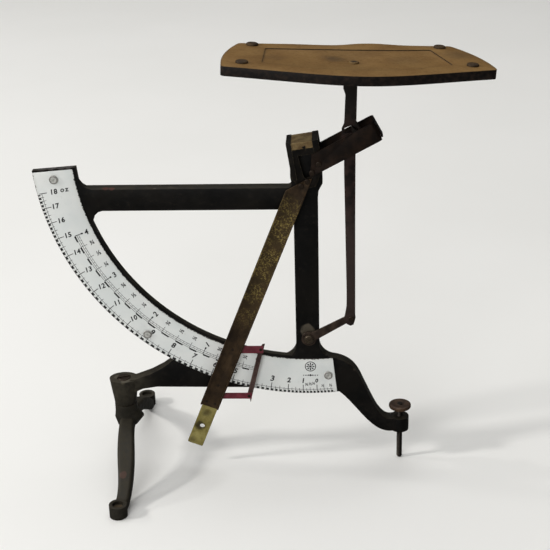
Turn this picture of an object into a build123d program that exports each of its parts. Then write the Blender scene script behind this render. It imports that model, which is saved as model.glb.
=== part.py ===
from build123d import *
import os
from math import sin, cos, tan, radians, sqrt

# Bench letter scale, pendulum quadrant pattern.
# Millimetres. +X right, +Y away from the user, +Z up.
# Origin on the table at the centre of the footprint, in the mid-plane of the iron frame.
# Outlines seen from the front are tables of (x, z) from the main pivot, unless noted.

os.makedirs("parts", exist_ok=True)

# ---------------------------------------------------------------- shared dimensions
PIVOT_X = 27.24          # main pivot to the right of the origin
PIVOT_H = 211.5          # main pivot above the table
CAST_T = 8.0             # thickness of the iron frame
HALF_T = CAST_T / 2
DIAL_START = 184.75      # left end of the dial, degrees counter-clockwise from +X
DIAL_T = 0.6
DIAL_SCREWS = ((-149.5, -17.8), (-100.3, -120.3), (11.7, -149.6))
SEAT_Z = -4.2            # top of the column, under the bearing block

# left boss (swing foot) and right boss (levelling screw)
FOOT_BOSS_X = -118.2
FOOT_BOSS_TOP, FOOT_BOSS_BOT = -153.5, -170.5
SCREW_BOSS_X = 57.0
SCREW_BOSS_TOP, SCREW_BOSS_BOT = -181.2, -190.6

# moving parts at rest, degrees
HEAD_TILT = 8.5          # lean of the lever head
ARM_TILT = 28.4          # load arm above horizontal
PEND_TILT = 21.7         # pendulum from the vertical
MAIN_KNIFE_TILT = 24.9

LOAD_X, LOAD_Z = 26.2, 14.9     # load knife line
ROD_L = 123.5                   # vertical side of the guide parallelogram
GUIDE_PIVOT = (0.0, -ROD_L)
PIN_X, PIN_Z = LOAD_X, LOAD_Z - ROD_L   # pin at the foot of the stem

# layers from front (F) to rear (B)
Y_PLATE_F, Y_PLATE_B = -10.2, -9.0      # front strips of the lever
Y_STEM_F, Y_STEM_B = -8.6, -6.0
Y_LINK_F, Y_LINK_B = -5.8, -4.8
Y_HEAD_F, Y_HEAD_B = -9.0, 6.8
Y_CHEEK_F, Y_CHEEK_B = -7.6, 5.6        # inner faces of the head
PLATE_T = Y_PLATE_B - Y_PLATE_F
STEM_T = Y_STEM_B - Y_STEM_F
LINK_T = Y_LINK_B - Y_LINK_F
HEAD_DEPTH = Y_HEAD_B - Y_HEAD_F
STRIP_W = 11.8

# knife edges and their bearings
KNIFE_T = 2.0
KNIFE_HALF = 22.0        # half angle ground on the knife edges
NOSE_R = 0.12            # nose of the knife edges
GROOVE_R = 0.16          # root of the bearing grooves
MAIN_KNIFE_L = 3.2       # height of the blades from nose to back
LOAD_KNIFE_L = 4.27

# lever rivets
CHEEK_RIVETS = ((7.4, -7.9), (3.4, -13.2))      # head to load arm, front and rear
STRIP_RIVETS = ((0.6, -18.6), (-3.0, -21.4))    # head to pendulum, front only
LEVER_RIVET_R, LEVER_RIVET_HEAD_R, LEVER_RIVET_HEAD_T = 1.1, 1.7, 0.7


# ---------------------------------------------------------------- work planes
def front(y, tilt=0.0, x=0.0, z=0.0):
    # seen by the user: x right, y up, turned counter-clockwise by tilt;
    # origin at x, z from the pivot; extrudes towards the user
    return Plane(origin=(PIVOT_X + x, y, PIVOT_H + z),
                 x_dir=(cos(radians(tilt)), 0, sin(radians(tilt))), z_dir=(0, -1, 0))


def pend_front(y):
    # y runs up the pendulum, x to its right
    return front(y, tilt=-PEND_TILT)


def load_knife_plane(y):
    # the load knife points up, so its plane is upside down
    return front(y, tilt=ARM_TILT + 180, x=LOAD_X, z=LOAD_Z)


def arm_plan(height):
    # square on to the edges of the load arm: x along it, y to the rear
    a = radians(ARM_TILT)
    return Plane(origin=(PIVOT_X - height * sin(a), 0, PIVOT_H + height * cos(a)),
                 x_dir=(cos(a), 0, sin(a)), z_dir=(-sin(a), 0, cos(a)))


def level(z):
    # horizontal plane at a height above the pivot, x from the pivot
    return Plane(origin=(PIVOT_X, 0, PIVOT_H + z), x_dir=(1, 0, 0), z_dir=(0, 0, 1))


# ---------------------------------------------------------------- helpers
def save(builder, label):
    builder.part.label = label
    export_step(builder.part, f"parts/{label}.step")


def try_fillet(items, radius):
    # guards fillets that the geometry kernel may refuse; the corner then stays sharp
    try:
        fillet(items, radius=radius)
        return True
    except Exception:
        return False


def on_circle(radius, angle):
    return (radius * cos(radians(angle)), radius * sin(radians(angle)))


def polygon(points, mode=Mode.ADD):
    # straight-sided face in the current sketch
    with BuildLine() as sides:
        Polyline(*points, close=True)
    make_face(sides.edges(), mode=mode)


def arc_band(r_in, r_out, start, end):
    # ring sector in the current sketch
    middle = (start + end) / 2
    with BuildLine() as band:
        ThreePointArc(on_circle(r_out, start), on_circle(r_out, middle), on_circle(r_out, end))
        Line(on_circle(r_out, end), on_circle(r_in, end))
        ThreePointArc(on_circle(r_in, end), on_circle(r_in, middle), on_circle(r_in, start))
        Line(on_circle(r_in, start), on_circle(r_out, start))
    make_face(band.edges())


def knife_outline(length):
    # blade standing on its point at the sketch origin, nose rounded about that point
    half = KNIFE_T / 2
    bevel = half / tan(radians(KNIFE_HALF))
    polygon(((0, 0), (half, bevel), (half, length), (-half, length), (-half, bevel)))
    Circle(NOSE_R)


# ---------------------------------------------------------------- iron frame
QUAD_R_IN, QUAD_R_OUT = 136.4, 162.6
QUAD_T = 3.6             # the quadrant is a thinner plate flush with the front
QUAD_START, QUAD_END = DIAL_START - 0.35, 277.2
RIB_R_IN, RIB_R_OUT = 147.5, 151.5
BAR_TOP, BAR_BOT, BAR_LEFT = -24.6, -38.2, -139.5
COLUMN_L, COLUMN_R = -8.0, 6.3
COLUMN_FLARE_Z = -127.0  # the column spreads below this height

WEB = ((-100.0, -148.8), (-90.5, -143.4), (-80.0, -134.0), (-40.0, -152.0), (-36.0, -158.4),
       (-97.0, -158.0))
LEG_CORNER = ((11.6, -134.0), (11.6, -136.7), (15.2, -137.5), (19.6, -138.9), (19.6, -134.0))
COLUMN = ((COLUMN_L, -145), (COLUMN_L, -26), (-9.6, -18), (-9.6, -9.0), (-5.6, -5.0),
          (-5.6, SEAT_Z), (5.0, SEAT_Z), (6.3, -7.0), (9.2, -14.0), (9.4, -22.0), (7.0, -26.5),
          (6.5, -32), (COLUMN_R, -145))
LEFT_ARM = ((-118.2, -153.7), (-110.5, -152.9), (-100.0, -148.8), (-92.5, -144.6),
            (-84.6, -138.7), (-78.0, -141.6), (-80.0, -158.0), (-97.0, -158.0),
            (-106.0, -159.6), (-112.5, -162.6), (-118.2, -164.0))
BAR_ROOT_ABOVE = ((-137.5, -16.5), (-135.6, -18.6), (-133.4, -21.6), (-130.4, -23.7),
                  (-126.8, -24.8), (-126.8, -30), (-140, -30))
BAR_ROOT_BELOW = ((-121.5, -38.0), (-124.8, -39.0), (-127.2, -41.2), (-128.6, -45.2),
                  (-131.5, -46.5), (-134.0, -30))

with BuildPart() as frame_casting:
    # quadrant plate with the web below it
    with BuildSketch(front(-HALF_T + QUAD_T)):
        arc_band(QUAD_R_IN, QUAD_R_OUT, QUAD_START, QUAD_END)
        polygon(WEB)
        # corner where the quadrant runs into the right leg
        polygon(LEG_CORNER, mode=Mode.SUBTRACT)
    extrude(amount=QUAD_T)
    # bar, column, right leg and left arm at full thickness
    with BuildSketch(front(HALF_T)) as outline:
        # the bar runs 2 mm past each end
        with Locations(((BAR_LEFT + COLUMN_L) / 2, (BAR_TOP + BAR_BOT) / 2)):
            Rectangle(COLUMN_L - BAR_LEFT + 4, BAR_TOP - BAR_BOT)
        polygon(COLUMN)
        # foot of the column spreading into the quadrant and the right leg
        with BuildLine():
            Line((-19.0, -140.6), (-14.2, -137.9))
            ThreePointArc((-14.2, -137.9), (-9.4, -133.7), (COLUMN_L, COLUMN_FLARE_Z))
            Line((COLUMN_L, COLUMN_FLARE_Z), (COLUMN_R, COLUMN_FLARE_Z))
            ThreePointArc((COLUMN_R, COLUMN_FLARE_Z), (8.4, -134.0), (15.7, -138.2))
            Spline((15.7, -138.2), (20.5, -139.6), (25.3, -142.4), (29.4, -147.0),
                   (33.4, -155.1), (39.1, -168.0), (44.4, -177.6), (48.0, -180.9),
                   (52.5, -181.4))
            Polyline((52.5, -181.4), (57, -181.4), (57, -190.4), (52.0, -190.4))
            Spline((52.0, -190.4), (44.7, -188.9), (40.4, -186.0), (34.7, -180.2),
                   (26.5, -170.0), (18.6, -161.6))
            Polyline((18.6, -161.6), (0, -146), (-19.0, -143.5), (-19.0, -140.6))
        make_face()
        polygon(LEFT_ARM)
        # inner corners between bar and column
        for corner_z, radius in ((BAR_BOT, 3.0), (BAR_TOP, 2.5)):
            corner = outline.vertices().sort_by_distance(Vector(COLUMN_L, corner_z, 0))[0]
            try_fillet(corner, radius)
    extrude(amount=CAST_T)
    # root fillets of the bar against the quadrant
    with BuildSketch(front(0)):
        polygon(BAR_ROOT_ABOVE)
        polygon(BAR_ROOT_BELOW)
    extrude(amount=HALF_T)
    # stiffening rib along the rear of the quadrant
    with BuildSketch(front(1.6)):
        arc_band(RIB_R_IN, RIB_R_OUT, DIAL_START + 3.0, 262.0)
    extrude(amount=2.2)
    # boss of the swing foot
    with BuildSketch(level(FOOT_BOSS_BOT)):
        with Locations((FOOT_BOSS_X, 0)):
            Circle(6.9)
    with BuildSketch(level(FOOT_BOSS_TOP)):
        with Locations((FOOT_BOSS_X, 0)):
            Ellipse(9.2, 7.4)
    loft()
    # boss of the levelling screw
    with BuildSketch(level(SCREW_BOSS_BOT)):
        with Locations((SCREW_BOSS_X, 0)):
            Circle(5.7)
    extrude(amount=SCREW_BOSS_TOP - SCREW_BOSS_BOT)
    for boss_z in (SCREW_BOSS_BOT, SCREW_BOSS_TOP):
        ring = frame_casting.edges().filter_by(GeomType.CIRCLE).sort_by_distance(
            Vector(PIVOT_X + SCREW_BOSS_X, 0, PIVOT_H + boss_z))[0]
        try_fillet(ring, 0.8)
    # soften the front outline of the casting
    rim = [e for e in frame_casting.edges()
           if abs(e.center().Y + HALF_T) < 0.01 and e.length > 6]
    try_fillet(rim, 0.9)
    # seat of the bearing block
    with BuildSketch(front(HALF_T + 1)):
        Rectangle(40, -2 * SEAT_Z)
    extrude(amount=CAST_T + 2, mode=Mode.SUBTRACT)
    # threaded hole for the levelling screw
    with BuildSketch(level(SCREW_BOSS_BOT - 2)):
        with Locations((SCREW_BOSS_X, 0)):
            Circle(1.85)
    extrude(amount=16, mode=Mode.SUBTRACT)
    # hole, then counterbore, for the pivot screw of the swing foot
    for base_z, radius, height in ((FOOT_BOSS_BOT - 1, 2.5, 20), (FOOT_BOSS_TOP - 1.2, 4.4, 4)):
        with BuildSketch(level(base_z)):
            with Locations((FOOT_BOSS_X, 0)):
                Circle(radius)
        extrude(amount=height, mode=Mode.SUBTRACT)
    # tapped holes for the guide pivot, then for the dial screws
    for spots, radius, depth in (((GUIDE_PIVOT,), 1.5, 6.0), (DIAL_SCREWS, 1.0, 3.5)):
        with BuildSketch(front(-HALF_T)):
            with Locations(*spots):
                Circle(radius)
        extrude(amount=-depth, mode=Mode.SUBTRACT)
save(frame_casting, "frame_casting")

# ---------------------------------------------------------------- dial plate
DIAL_R_IN, DIAL_R_OUT = 138.2, 162.4
DIAL_END = 276.07        # lower end, degrees

with BuildPart() as dial_plate:
    with BuildSketch(front(-HALF_T)):
        arc_band(DIAL_R_IN, DIAL_R_OUT, DIAL_START, DIAL_END)
        with Locations(*DIAL_SCREWS):
            Circle(1.05, mode=Mode.SUBTRACT)
    extrude(amount=DIAL_T)
save(dial_plate, "dial_plate")

# ---------------------------------------------------------------- dial screws
SCREW_SLOT_L, SCREW_SLOT_W = 7, 0.8     # shared with the guide pivot screw
DIAL_SLOT_TURNS = (35, -20, 60)         # degrees

with BuildPart() as dial_screws:
    with BuildSketch(front(-HALF_T - DIAL_T)):
        with Locations(*DIAL_SCREWS):
            Circle(2.7)
    extrude(amount=1.0)
    fillet(dial_screws.faces().filter_by(Axis.Y).sort_by(Axis.Y)[0:3].edges()
           .filter_by(GeomType.CIRCLE), radius=0.45)
    # shanks
    with BuildSketch(front(-HALF_T - DIAL_T)):
        with Locations(*DIAL_SCREWS):
            Circle(1.0)
    extrude(amount=-(DIAL_T + 3.0))
    for (x, z), turn in zip(DIAL_SCREWS, DIAL_SLOT_TURNS):
        with BuildSketch(front(-HALF_T - DIAL_T - 0.5)):
            with Locations(Location((x, z, 0), (0, 0, turn))):
                Rectangle(SCREW_SLOT_L, SCREW_SLOT_W)
        extrude(amount=1.0, mode=Mode.SUBTRACT)
save(dial_screws, "dial_screws")

# ---------------------------------------------------------------- main bearing
VEE_W = 3.5              # width of the groove's right flank
VEE_HALF = 66.0          # half angle of the right flank
BEARING = ((-5.4, SEAT_Z), (-5.4, -1.2), (-4.6, 1.9), (0, -0.02),
           (VEE_W, VEE_W / tan(radians(VEE_HALF))), (VEE_W + 0.4, 0.6), (4.9, -2.2),
           (4.9, SEAT_Z))

with BuildPart() as bearing_block:
    with BuildSketch(front(HALF_T)):
        polygon(BEARING)
        Circle(GROOVE_R, mode=Mode.SUBTRACT)
    extrude(amount=CAST_T)
save(bearing_block, "bearing_block")

# ---------------------------------------------------------------- lever head
# outlines in the plane of the head, which leans by HEAD_TILT
HEAD_XL, HEAD_XR, HEAD_TOP = -10.85, 8.0, 5.3
RIB_TOP = HEAD_TOP + 0.7
HEAD = ((HEAD_XL, HEAD_TOP), (HEAD_XR, HEAD_TOP), (HEAD_XR, -12.5), (2.0, -22.5),
        (-6.6, -23.0), (HEAD_XL, -15.0))
LEFT_RIB = ((HEAD_XL, RIB_TOP), (-8.0, RIB_TOP), (-8.0, -17.0), (-9.6, -17.4),
            (HEAD_XL, -15.0))
RIGHT_RIB = ((4.4, RIB_TOP), (HEAD_XR, RIB_TOP), (HEAD_XR, 0.2), (4.4, -1.7))
CHEEK_WINDOW = ((-5.2, -2.4), (3.0, -2.4), (2.0, -15.6), (1.2, -16.6), (-3.0, -16.6),
                (-3.9, -15.6))

with BuildPart() as lever_saddle:
    with BuildSketch(front(Y_HEAD_B, tilt=HEAD_TILT)):
        polygon(HEAD)
    extrude(amount=HEAD_DEPTH)
    # raised ribs left and right of the strap
    with BuildSketch(front(Y_HEAD_B + 0.6, tilt=HEAD_TILT)):
        polygon(LEFT_RIB)
        polygon(RIGHT_RIB)
    extrude(amount=HEAD_DEPTH + 1.4)
    # the iron column passes up inside the saddle
    with BuildSketch(front(Y_CHEEK_B, tilt=HEAD_TILT)):
        with Locations((0, -15.9)):
            Rectangle(60, 40)
    extrude(amount=Y_CHEEK_B - Y_CHEEK_F, mode=Mode.SUBTRACT)
    # window in the front cheek
    with BuildSketch(front(-7.0, tilt=HEAD_TILT)):
        polygon(CHEEK_WINDOW)
    extrude(amount=4.0, mode=Mode.SUBTRACT)
    # slots holding the knife edge
    with BuildSketch(front(Y_HEAD_B + 1, tilt=MAIN_KNIFE_TILT)):
        knife_outline(MAIN_KNIFE_L)
    extrude(amount=HEAD_DEPTH + 3, mode=Mode.SUBTRACT)
    # rivet holes in the front cheek, then in the rear cheek
    for y, spots, depth in ((-5, CHEEK_RIVETS + STRIP_RIVETS, 8), (9, CHEEK_RIVETS, 4.6)):
        with BuildSketch(front(y)):
            with Locations(*spots):
                Circle(LEVER_RIVET_R)
        extrude(amount=depth, mode=Mode.SUBTRACT)
save(lever_saddle, "lever_saddle")

# ---------------------------------------------------------------- main knife edge
with BuildPart() as main_knife_edge:
    with BuildSketch(front(Y_HEAD_B, tilt=MAIN_KNIFE_TILT)):
        knife_outline(MAIN_KNIFE_L)
    extrude(amount=HEAD_DEPTH)
save(main_knife_edge, "main_knife_edge")

# ---------------------------------------------------------------- saddle strap
STRAP_T = 0.5
STRAP_X = -1.8           # centre line in the plane of the head
STRAP_W, STRAP_H = 12.3, 4.2

with BuildPart() as saddle_strap:
    with BuildSketch(front(Y_HEAD_B + STRAP_T, tilt=HEAD_TILT)):
        with Locations((STRAP_X, HEAD_TOP + STRAP_T - STRAP_H / 2)):
            Rectangle(STRAP_W, STRAP_H)
    extrude(amount=HEAD_DEPTH + 2 * STRAP_T)
    # room for the head
    with BuildSketch(front(Y_HEAD_B, tilt=HEAD_TILT)):
        with Locations((STRAP_X, HEAD_TOP - 10)):
            Rectangle(20, 20)
    extrude(amount=HEAD_DEPTH, mode=Mode.SUBTRACT)
    with BuildSketch(front(Y_HEAD_B + 1, tilt=MAIN_KNIFE_TILT)):
        knife_outline(MAIN_KNIFE_L)
    extrude(amount=HEAD_DEPTH + 3, mode=Mode.SUBTRACT)
    # round the two outer folds along the top
    head_up = Vector(-sin(radians(HEAD_TILT)), 0, cos(radians(HEAD_TILT)))
    top_edges = [e for e in saddle_strap.edges()
                 if e.length > 11
                 and abs((e.center() - Vector(PIVOT_X, 0, PIVOT_H)).dot(head_up)
                         - (HEAD_TOP + STRAP_T)) < 0.02]
    try_fillet([e for e in top_edges if abs(e.tangent_at(0.5).Y) < 0.1], 0.45)
save(saddle_strap, "saddle_strap")

# ---------------------------------------------------------------- load arm
ARM_BOT = -15.25         # lower edge, square to the arm from the pivot
ARM_START, ARM_END = -8, 42.4           # along the arm
Y_ARM_B, Y_ARM_B_IN = 5.6, 4.5          # rear strip, outer and inner face
ARM_BEND = ARM_END - 3.0                # start of the corner bends
ARM_END_IN = ARM_END - 1.1
ARM_INNER_CUT = ((3.0, 4.0), (3.3, -2.6), (2.9, -9.0), (1.4, -20.0), (-30, -20), (-30, 4.0))

with BuildPart() as load_stirrup:
    # U-shaped strip: outer face from front to rear, then back along the inner face
    with BuildSketch(arm_plan(ARM_BOT)):
        with BuildLine():
            Line((ARM_START, Y_PLATE_F), (ARM_BEND, Y_PLATE_F))
            ThreePointArc((ARM_BEND, Y_PLATE_F), (ARM_END - 0.88, Y_PLATE_F + 0.88),
                          (ARM_END, Y_PLATE_F + 3.0))
            Line((ARM_END, Y_PLATE_F + 3.0), (ARM_END, Y_ARM_B - 3.0))
            ThreePointArc((ARM_END, Y_ARM_B - 3.0), (ARM_END - 0.88, Y_ARM_B - 0.88),
                          (ARM_BEND, Y_ARM_B))
            Polyline((ARM_BEND, Y_ARM_B), (ARM_START, Y_ARM_B), (ARM_START, Y_ARM_B_IN),
                     (ARM_BEND, Y_ARM_B_IN))
            ThreePointArc((ARM_BEND, Y_ARM_B_IN), (ARM_END - 1.66, 3.94), (ARM_END_IN, 2.6))
            Line((ARM_END_IN, 2.6), (ARM_END_IN, Y_PLATE_F + 3.1))
            ThreePointArc((ARM_END_IN, Y_PLATE_F + 3.1), (ARM_END - 1.68, Y_PLATE_F + 1.78),
                          (ARM_BEND, Y_PLATE_B))
            Polyline((ARM_BEND, Y_PLATE_B), (ARM_START, Y_PLATE_B), (ARM_START, Y_PLATE_F))
        make_face()
    extrude(amount=STRIP_W)
    # inner ends cut to follow the head
    with BuildSketch(front(10)):
        polygon(ARM_INNER_CUT)
    extrude(amount=30, mode=Mode.SUBTRACT)
    # slot in the closed end, where the stem passes at full load
    with BuildSketch(arm_plan(ARM_BOT - 1)):
        with Locations((ARM_END - 0.5, -7.0)):
            Rectangle(6.0, 4.0)
    extrude(amount=10.2, mode=Mode.SUBTRACT)
    # notch for the load knife edge
    with BuildSketch(load_knife_plane(8)):
        knife_outline(LOAD_KNIFE_L)
    extrude(amount=22, mode=Mode.SUBTRACT)
    with BuildSketch(front(10)):
        with Locations(*CHEEK_RIVETS):
            Circle(LEVER_RIVET_R)
    extrude(amount=24, mode=Mode.SUBTRACT)
save(load_stirrup, "load_stirrup")

# ---------------------------------------------------------------- load knife edge
with BuildPart() as load_knife_edge:
    with BuildSketch(load_knife_plane(Y_ARM_B)):
        knife_outline(LOAD_KNIFE_L)
    extrude(amount=Y_ARM_B - Y_PLATE_F)
save(load_knife_edge, "load_knife_edge")

# ---------------------------------------------------------------- lever rivets
Y_REAR_HEAD = Y_HEAD_B + LEVER_RIVET_HEAD_T     # outer face of the rear rivet heads
# rear plane y, places, radius, length towards the user
LEVER_RIVET_STEPS = (
    (Y_CHEEK_F, CHEEK_RIVETS + STRIP_RIVETS, LEVER_RIVET_R, 2.6),
    (Y_PLATE_F, CHEEK_RIVETS + STRIP_RIVETS, LEVER_RIVET_HEAD_R, LEVER_RIVET_HEAD_T),
    (7.4, CHEEK_RIVETS, LEVER_RIVET_R, 7.4 - Y_ARM_B_IN),
    (Y_REAR_HEAD, CHEEK_RIVETS, LEVER_RIVET_HEAD_R, LEVER_RIVET_HEAD_T),
)

with BuildPart() as lever_rivets:
    for y, spots, radius, length in LEVER_RIVET_STEPS:
        with BuildSketch(front(y)):
            with Locations(*spots):
                Circle(radius)
        extrude(amount=length)
    # outer rims of the heads
    fillet(lever_rivets.edges().filter_by(GeomType.CIRCLE)
           .filter_by(lambda e: abs(e.radius - LEVER_RIVET_HEAD_R) < 0.01)
           .filter_by(lambda e: e.center().Y < -10.5 or e.center().Y > 7.2), radius=0.45)
save(lever_rivets, "lever_rivets")

# ---------------------------------------------------------------- pendulum
# along the pendulum, distances are measured down from the pivot
STRIP_X = 3.5            # centre line of the strip to the right of the pivot
STRIP_TOP, STRIP_END = 13, 180.5
BORDER_TOP, BORDER_W, BORDER_H = 27, 0.9, 0.8
PEND_RIVET_R, PEND_RIVET_HEAD_R, PEND_RIVET_HEAD_T = 1.0, 1.6, 0.5
TONGUE_RIVETS = ((STRIP_X - 2.7, -177.4), (STRIP_X + 2.7, -177.4))
INDEX_RIVETS = ((STRIP_X, -137.0), (STRIP_X, -164.0))

with BuildPart() as pendulum_strip:
    with BuildSketch(pend_front(Y_PLATE_B)):
        with Locations((STRIP_X, -(STRIP_TOP + STRIP_END) / 2)):
            Rectangle(STRIP_W, STRIP_END - STRIP_TOP)
    extrude(amount=PLATE_T)
    # low folded borders along both edges
    border_offset = (STRIP_W - BORDER_W) / 2
    border_mid = -(BORDER_TOP + STRIP_END) / 2
    with BuildSketch(pend_front(Y_PLATE_F)):
        with Locations((STRIP_X - border_offset, border_mid),
                       (STRIP_X + border_offset, border_mid)):
            Rectangle(BORDER_W, STRIP_END - BORDER_TOP)
    extrude(amount=BORDER_H)
    # upper end cut along the load arm, then along the head
    with BuildSketch(front(Y_PLATE_B + 1, tilt=ARM_TILT)):
        with Locations((0, ARM_BOT - 0.25 + 10)):
            Rectangle(60, 20)
    extrude(amount=4, mode=Mode.SUBTRACT)
    with BuildSketch(front(Y_PLATE_B + 1, tilt=HEAD_TILT)):
        with Locations((-1, -7.2)):
            Rectangle(40, 20)
    extrude(amount=4, mode=Mode.SUBTRACT)
    # rivet holes: head, then tongue and index
    for plane, spots, radius in ((front(-5), STRIP_RIVETS, LEVER_RIVET_R),
                                 (pend_front(-5), TONGUE_RIVETS + INDEX_RIVETS, PEND_RIVET_R)):
        with BuildSketch(plane):
            with Locations(*spots):
                Circle(radius)
        extrude(amount=8, mode=Mode.SUBTRACT)
save(pendulum_strip, "pendulum_strip")

# ---------------------------------------------------------------- pendulum tongue
TONGUE_X, TONGUE_W, TONGUE_T = 4.0, 10.0, 1.2
TONGUE_TOP, TONGUE_TIP = 174.3, 210.4   # its top laps behind the strip
TONGUE_HOLE = 196.2
Y_TONGUE_B = Y_PLATE_B + TONGUE_T

with BuildPart() as pendulum_tongue:
    with BuildSketch(pend_front(Y_TONGUE_B)) as tongue_sketch:
        with Locations((TONGUE_X, -(TONGUE_TOP + TONGUE_TIP) / 2)):
            Rectangle(TONGUE_W, TONGUE_TIP - TONGUE_TOP)
        fillet(tongue_sketch.vertices().group_by(Axis.Y)[0], radius=0.9)
        with Locations((TONGUE_X, -TONGUE_HOLE)):
            Circle(1.6, mode=Mode.SUBTRACT)
        with Locations(*TONGUE_RIVETS):
            Circle(PEND_RIVET_R, mode=Mode.SUBTRACT)
    extrude(amount=TONGUE_T)
save(pendulum_tongue, "pendulum_tongue")

with BuildPart() as tongue_rivets:
    # shanks, then rear heads
    for y, radius, length in (
            (Y_TONGUE_B, PEND_RIVET_R, PLATE_T + TONGUE_T),
            (Y_TONGUE_B + PEND_RIVET_HEAD_T, PEND_RIVET_HEAD_R, PEND_RIVET_HEAD_T)):
        with BuildSketch(pend_front(y)):
            with Locations(*TONGUE_RIVETS):
                Circle(radius)
        extrude(amount=length)
save(tongue_rivets, "tongue_rivets")

# ---------------------------------------------------------------- index
BRACKET_T, BLADE_T = 0.8, 0.6
BRACKET_TOP, BRACKET_END, BRACKET_W = 131.0, 172.5, 8.6     # along the pendulum
# lugs reaching out level: left end, right end, centre height, height
BRACKET_LUGS = ((-49, -28.3, -129.25, 4.9), (-56, -36.5, -162.0, 4.0))
BLADE_RIVETS = ((-29.9, -129.2), (-38.2, -162.0))
BLADE_RIVET_R = 0.6
Y_BRACKET_B = Y_PLATE_B + BRACKET_T
Y_BLADE_B = Y_BRACKET_B + BLADE_T
BLADE = ((-27.2, -125.6), (-28.8, -125.9), (-31.2, -129.4), (-39.3, -161.0), (-39.5, -163.2),
         (-37.8, -163.8), (-37.35, -167.2), (-36.7, -164.0), (-28.4, -130.0))

with BuildPart() as index_bracket:
    with BuildSketch(pend_front(Y_BRACKET_B)):
        with Locations((STRIP_X, -(BRACKET_TOP + BRACKET_END) / 2)):
            Rectangle(BRACKET_W, BRACKET_END - BRACKET_TOP)
        with Locations(*INDEX_RIVETS):
            Circle(PEND_RIVET_R, mode=Mode.SUBTRACT)
    extrude(amount=BRACKET_T)
    with BuildSketch(front(Y_BRACKET_B)):
        for left, right, z, height in BRACKET_LUGS:
            with Locations(((left + right) / 2, z)):
                Rectangle(right - left, height)
    extrude(amount=BRACKET_T)
    # the lugs overlap the bracket, so all holes are cut through again
    for plane, spots, radius in ((front(-5), BLADE_RIVETS, BLADE_RIVET_R),
                                 (pend_front(-5), INDEX_RIVETS, PEND_RIVET_R)):
        with BuildSketch(plane):
            with Locations(*spots):
                Circle(radius)
        extrude(amount=6, mode=Mode.SUBTRACT)
save(index_bracket, "index_bracket")

with BuildPart() as index_blade:
    with BuildSketch(front(Y_BLADE_B)):
        polygon(BLADE)
        with Locations(*BLADE_RIVETS):
            Circle(BLADE_RIVET_R, mode=Mode.SUBTRACT)
    extrude(amount=BLADE_T)
save(index_blade, "index_blade")

# rear plane, places, radius, length towards the user
INDEX_RIVET_STEPS = (
    (front(Y_BLADE_B), BLADE_RIVETS, BLADE_RIVET_R, BRACKET_T + BLADE_T),
    (front(Y_PLATE_B), BLADE_RIVETS, 0.95, 0.3),
    (pend_front(Y_BRACKET_B), INDEX_RIVETS, PEND_RIVET_R, PLATE_T + BRACKET_T),
    (pend_front(Y_BRACKET_B + PEND_RIVET_HEAD_T), INDEX_RIVETS, PEND_RIVET_HEAD_R,
     PEND_RIVET_HEAD_T),
)
with BuildPart() as index_rivets:
    for plane, spots, radius, length in INDEX_RIVET_STEPS:
        with BuildSketch(plane):
            with Locations(*spots):
                Circle(radius)
        extrude(amount=length)
save(index_rivets, "index_rivets")

# ---------------------------------------------------------------- load stem
PIN_R = 1.2
STEM = ((21.7, 43.0), (21.7, 36.6), (22.9, 33.0), (22.2, 17.5), (22.0, 15.4), (20.7, 12.6),
        (20.7, 7.6), (22.0, 5.0), (22.0, -15), (22.4, -37), (22.9, -68), (23.3, -92),
        (23.2, -100.5), (22.7, -104.0), (PIN_X - 4.4, PIN_Z), (PIN_X - 3.0, PIN_Z - 3.2),
        (PIN_X - 0.6, PIN_Z - 4.5), (PIN_X + 1.3, PIN_Z - 3.6), (28.5, PIN_Z), (28.5, -37),
        (28.6, -15), (28.7, 4.6), (31.5, 7.2), (31.5, 13.2), (29.1, 17.0), (29.6, 36.6),
        (29.6, 43.0))
WINDOW_HALF_W, WINDOW_H = 3.9, 4.8
WINDOW_SLOPE = 68        # half angle of the window's peaked top
WINDOW_SIDE_Z = LOAD_Z - WINDOW_HALF_W / tan(radians(WINDOW_SLOPE))
STEM_WINDOW = ((LOAD_X, LOAD_Z),
               (LOAD_X - WINDOW_HALF_W, WINDOW_SIDE_Z), (LOAD_X - WINDOW_HALF_W, LOAD_Z - WINDOW_H),
               (LOAD_X + WINDOW_HALF_W, LOAD_Z - WINDOW_H), (LOAD_X + WINDOW_HALF_W, WINDOW_SIDE_Z))

with BuildPart() as stem:
    with BuildSketch(front(Y_STEM_B)):
        polygon(STEM)
        # bearing window; its upper corner hangs on the load knife edge
        polygon(STEM_WINDOW, mode=Mode.SUBTRACT)
        with Locations((LOAD_X, LOAD_Z)):
            Circle(GROOVE_R, mode=Mode.SUBTRACT)
        with Locations((PIN_X, PIN_Z)):
            Circle(PIN_R, mode=Mode.SUBTRACT)
    extrude(amount=STEM_T)
save(stem, "stem")

Y_PIN_B = -4.55
with BuildPart() as link_pin:
    # shank, then front head
    for y, radius, length in ((Y_PIN_B, PIN_R, Y_PIN_B - Y_STEM_F + 0.2),
                              (Y_STEM_F, 1.9, 0.7)):
        with BuildSketch(front(y)):
            with Locations((PIN_X, PIN_Z)):
                Circle(radius)
        extrude(amount=length)
    fillet(link_pin.edges().filter_by(GeomType.CIRCLE).sort_by(Axis.Y)[0], radius=0.4)
save(link_pin, "link_pin")

# ---------------------------------------------------------------- guide link
GUIDE_X, GUIDE_Z = GUIDE_PIVOT
GUIDE_SCREW_R = 1.5
LINK_GAP = 0.05          # play in front of and behind the link
LINK_HALF_L, LINK_HALF_R = 2.9, 2.1     # half widths at the guide pivot and at the pin
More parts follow.
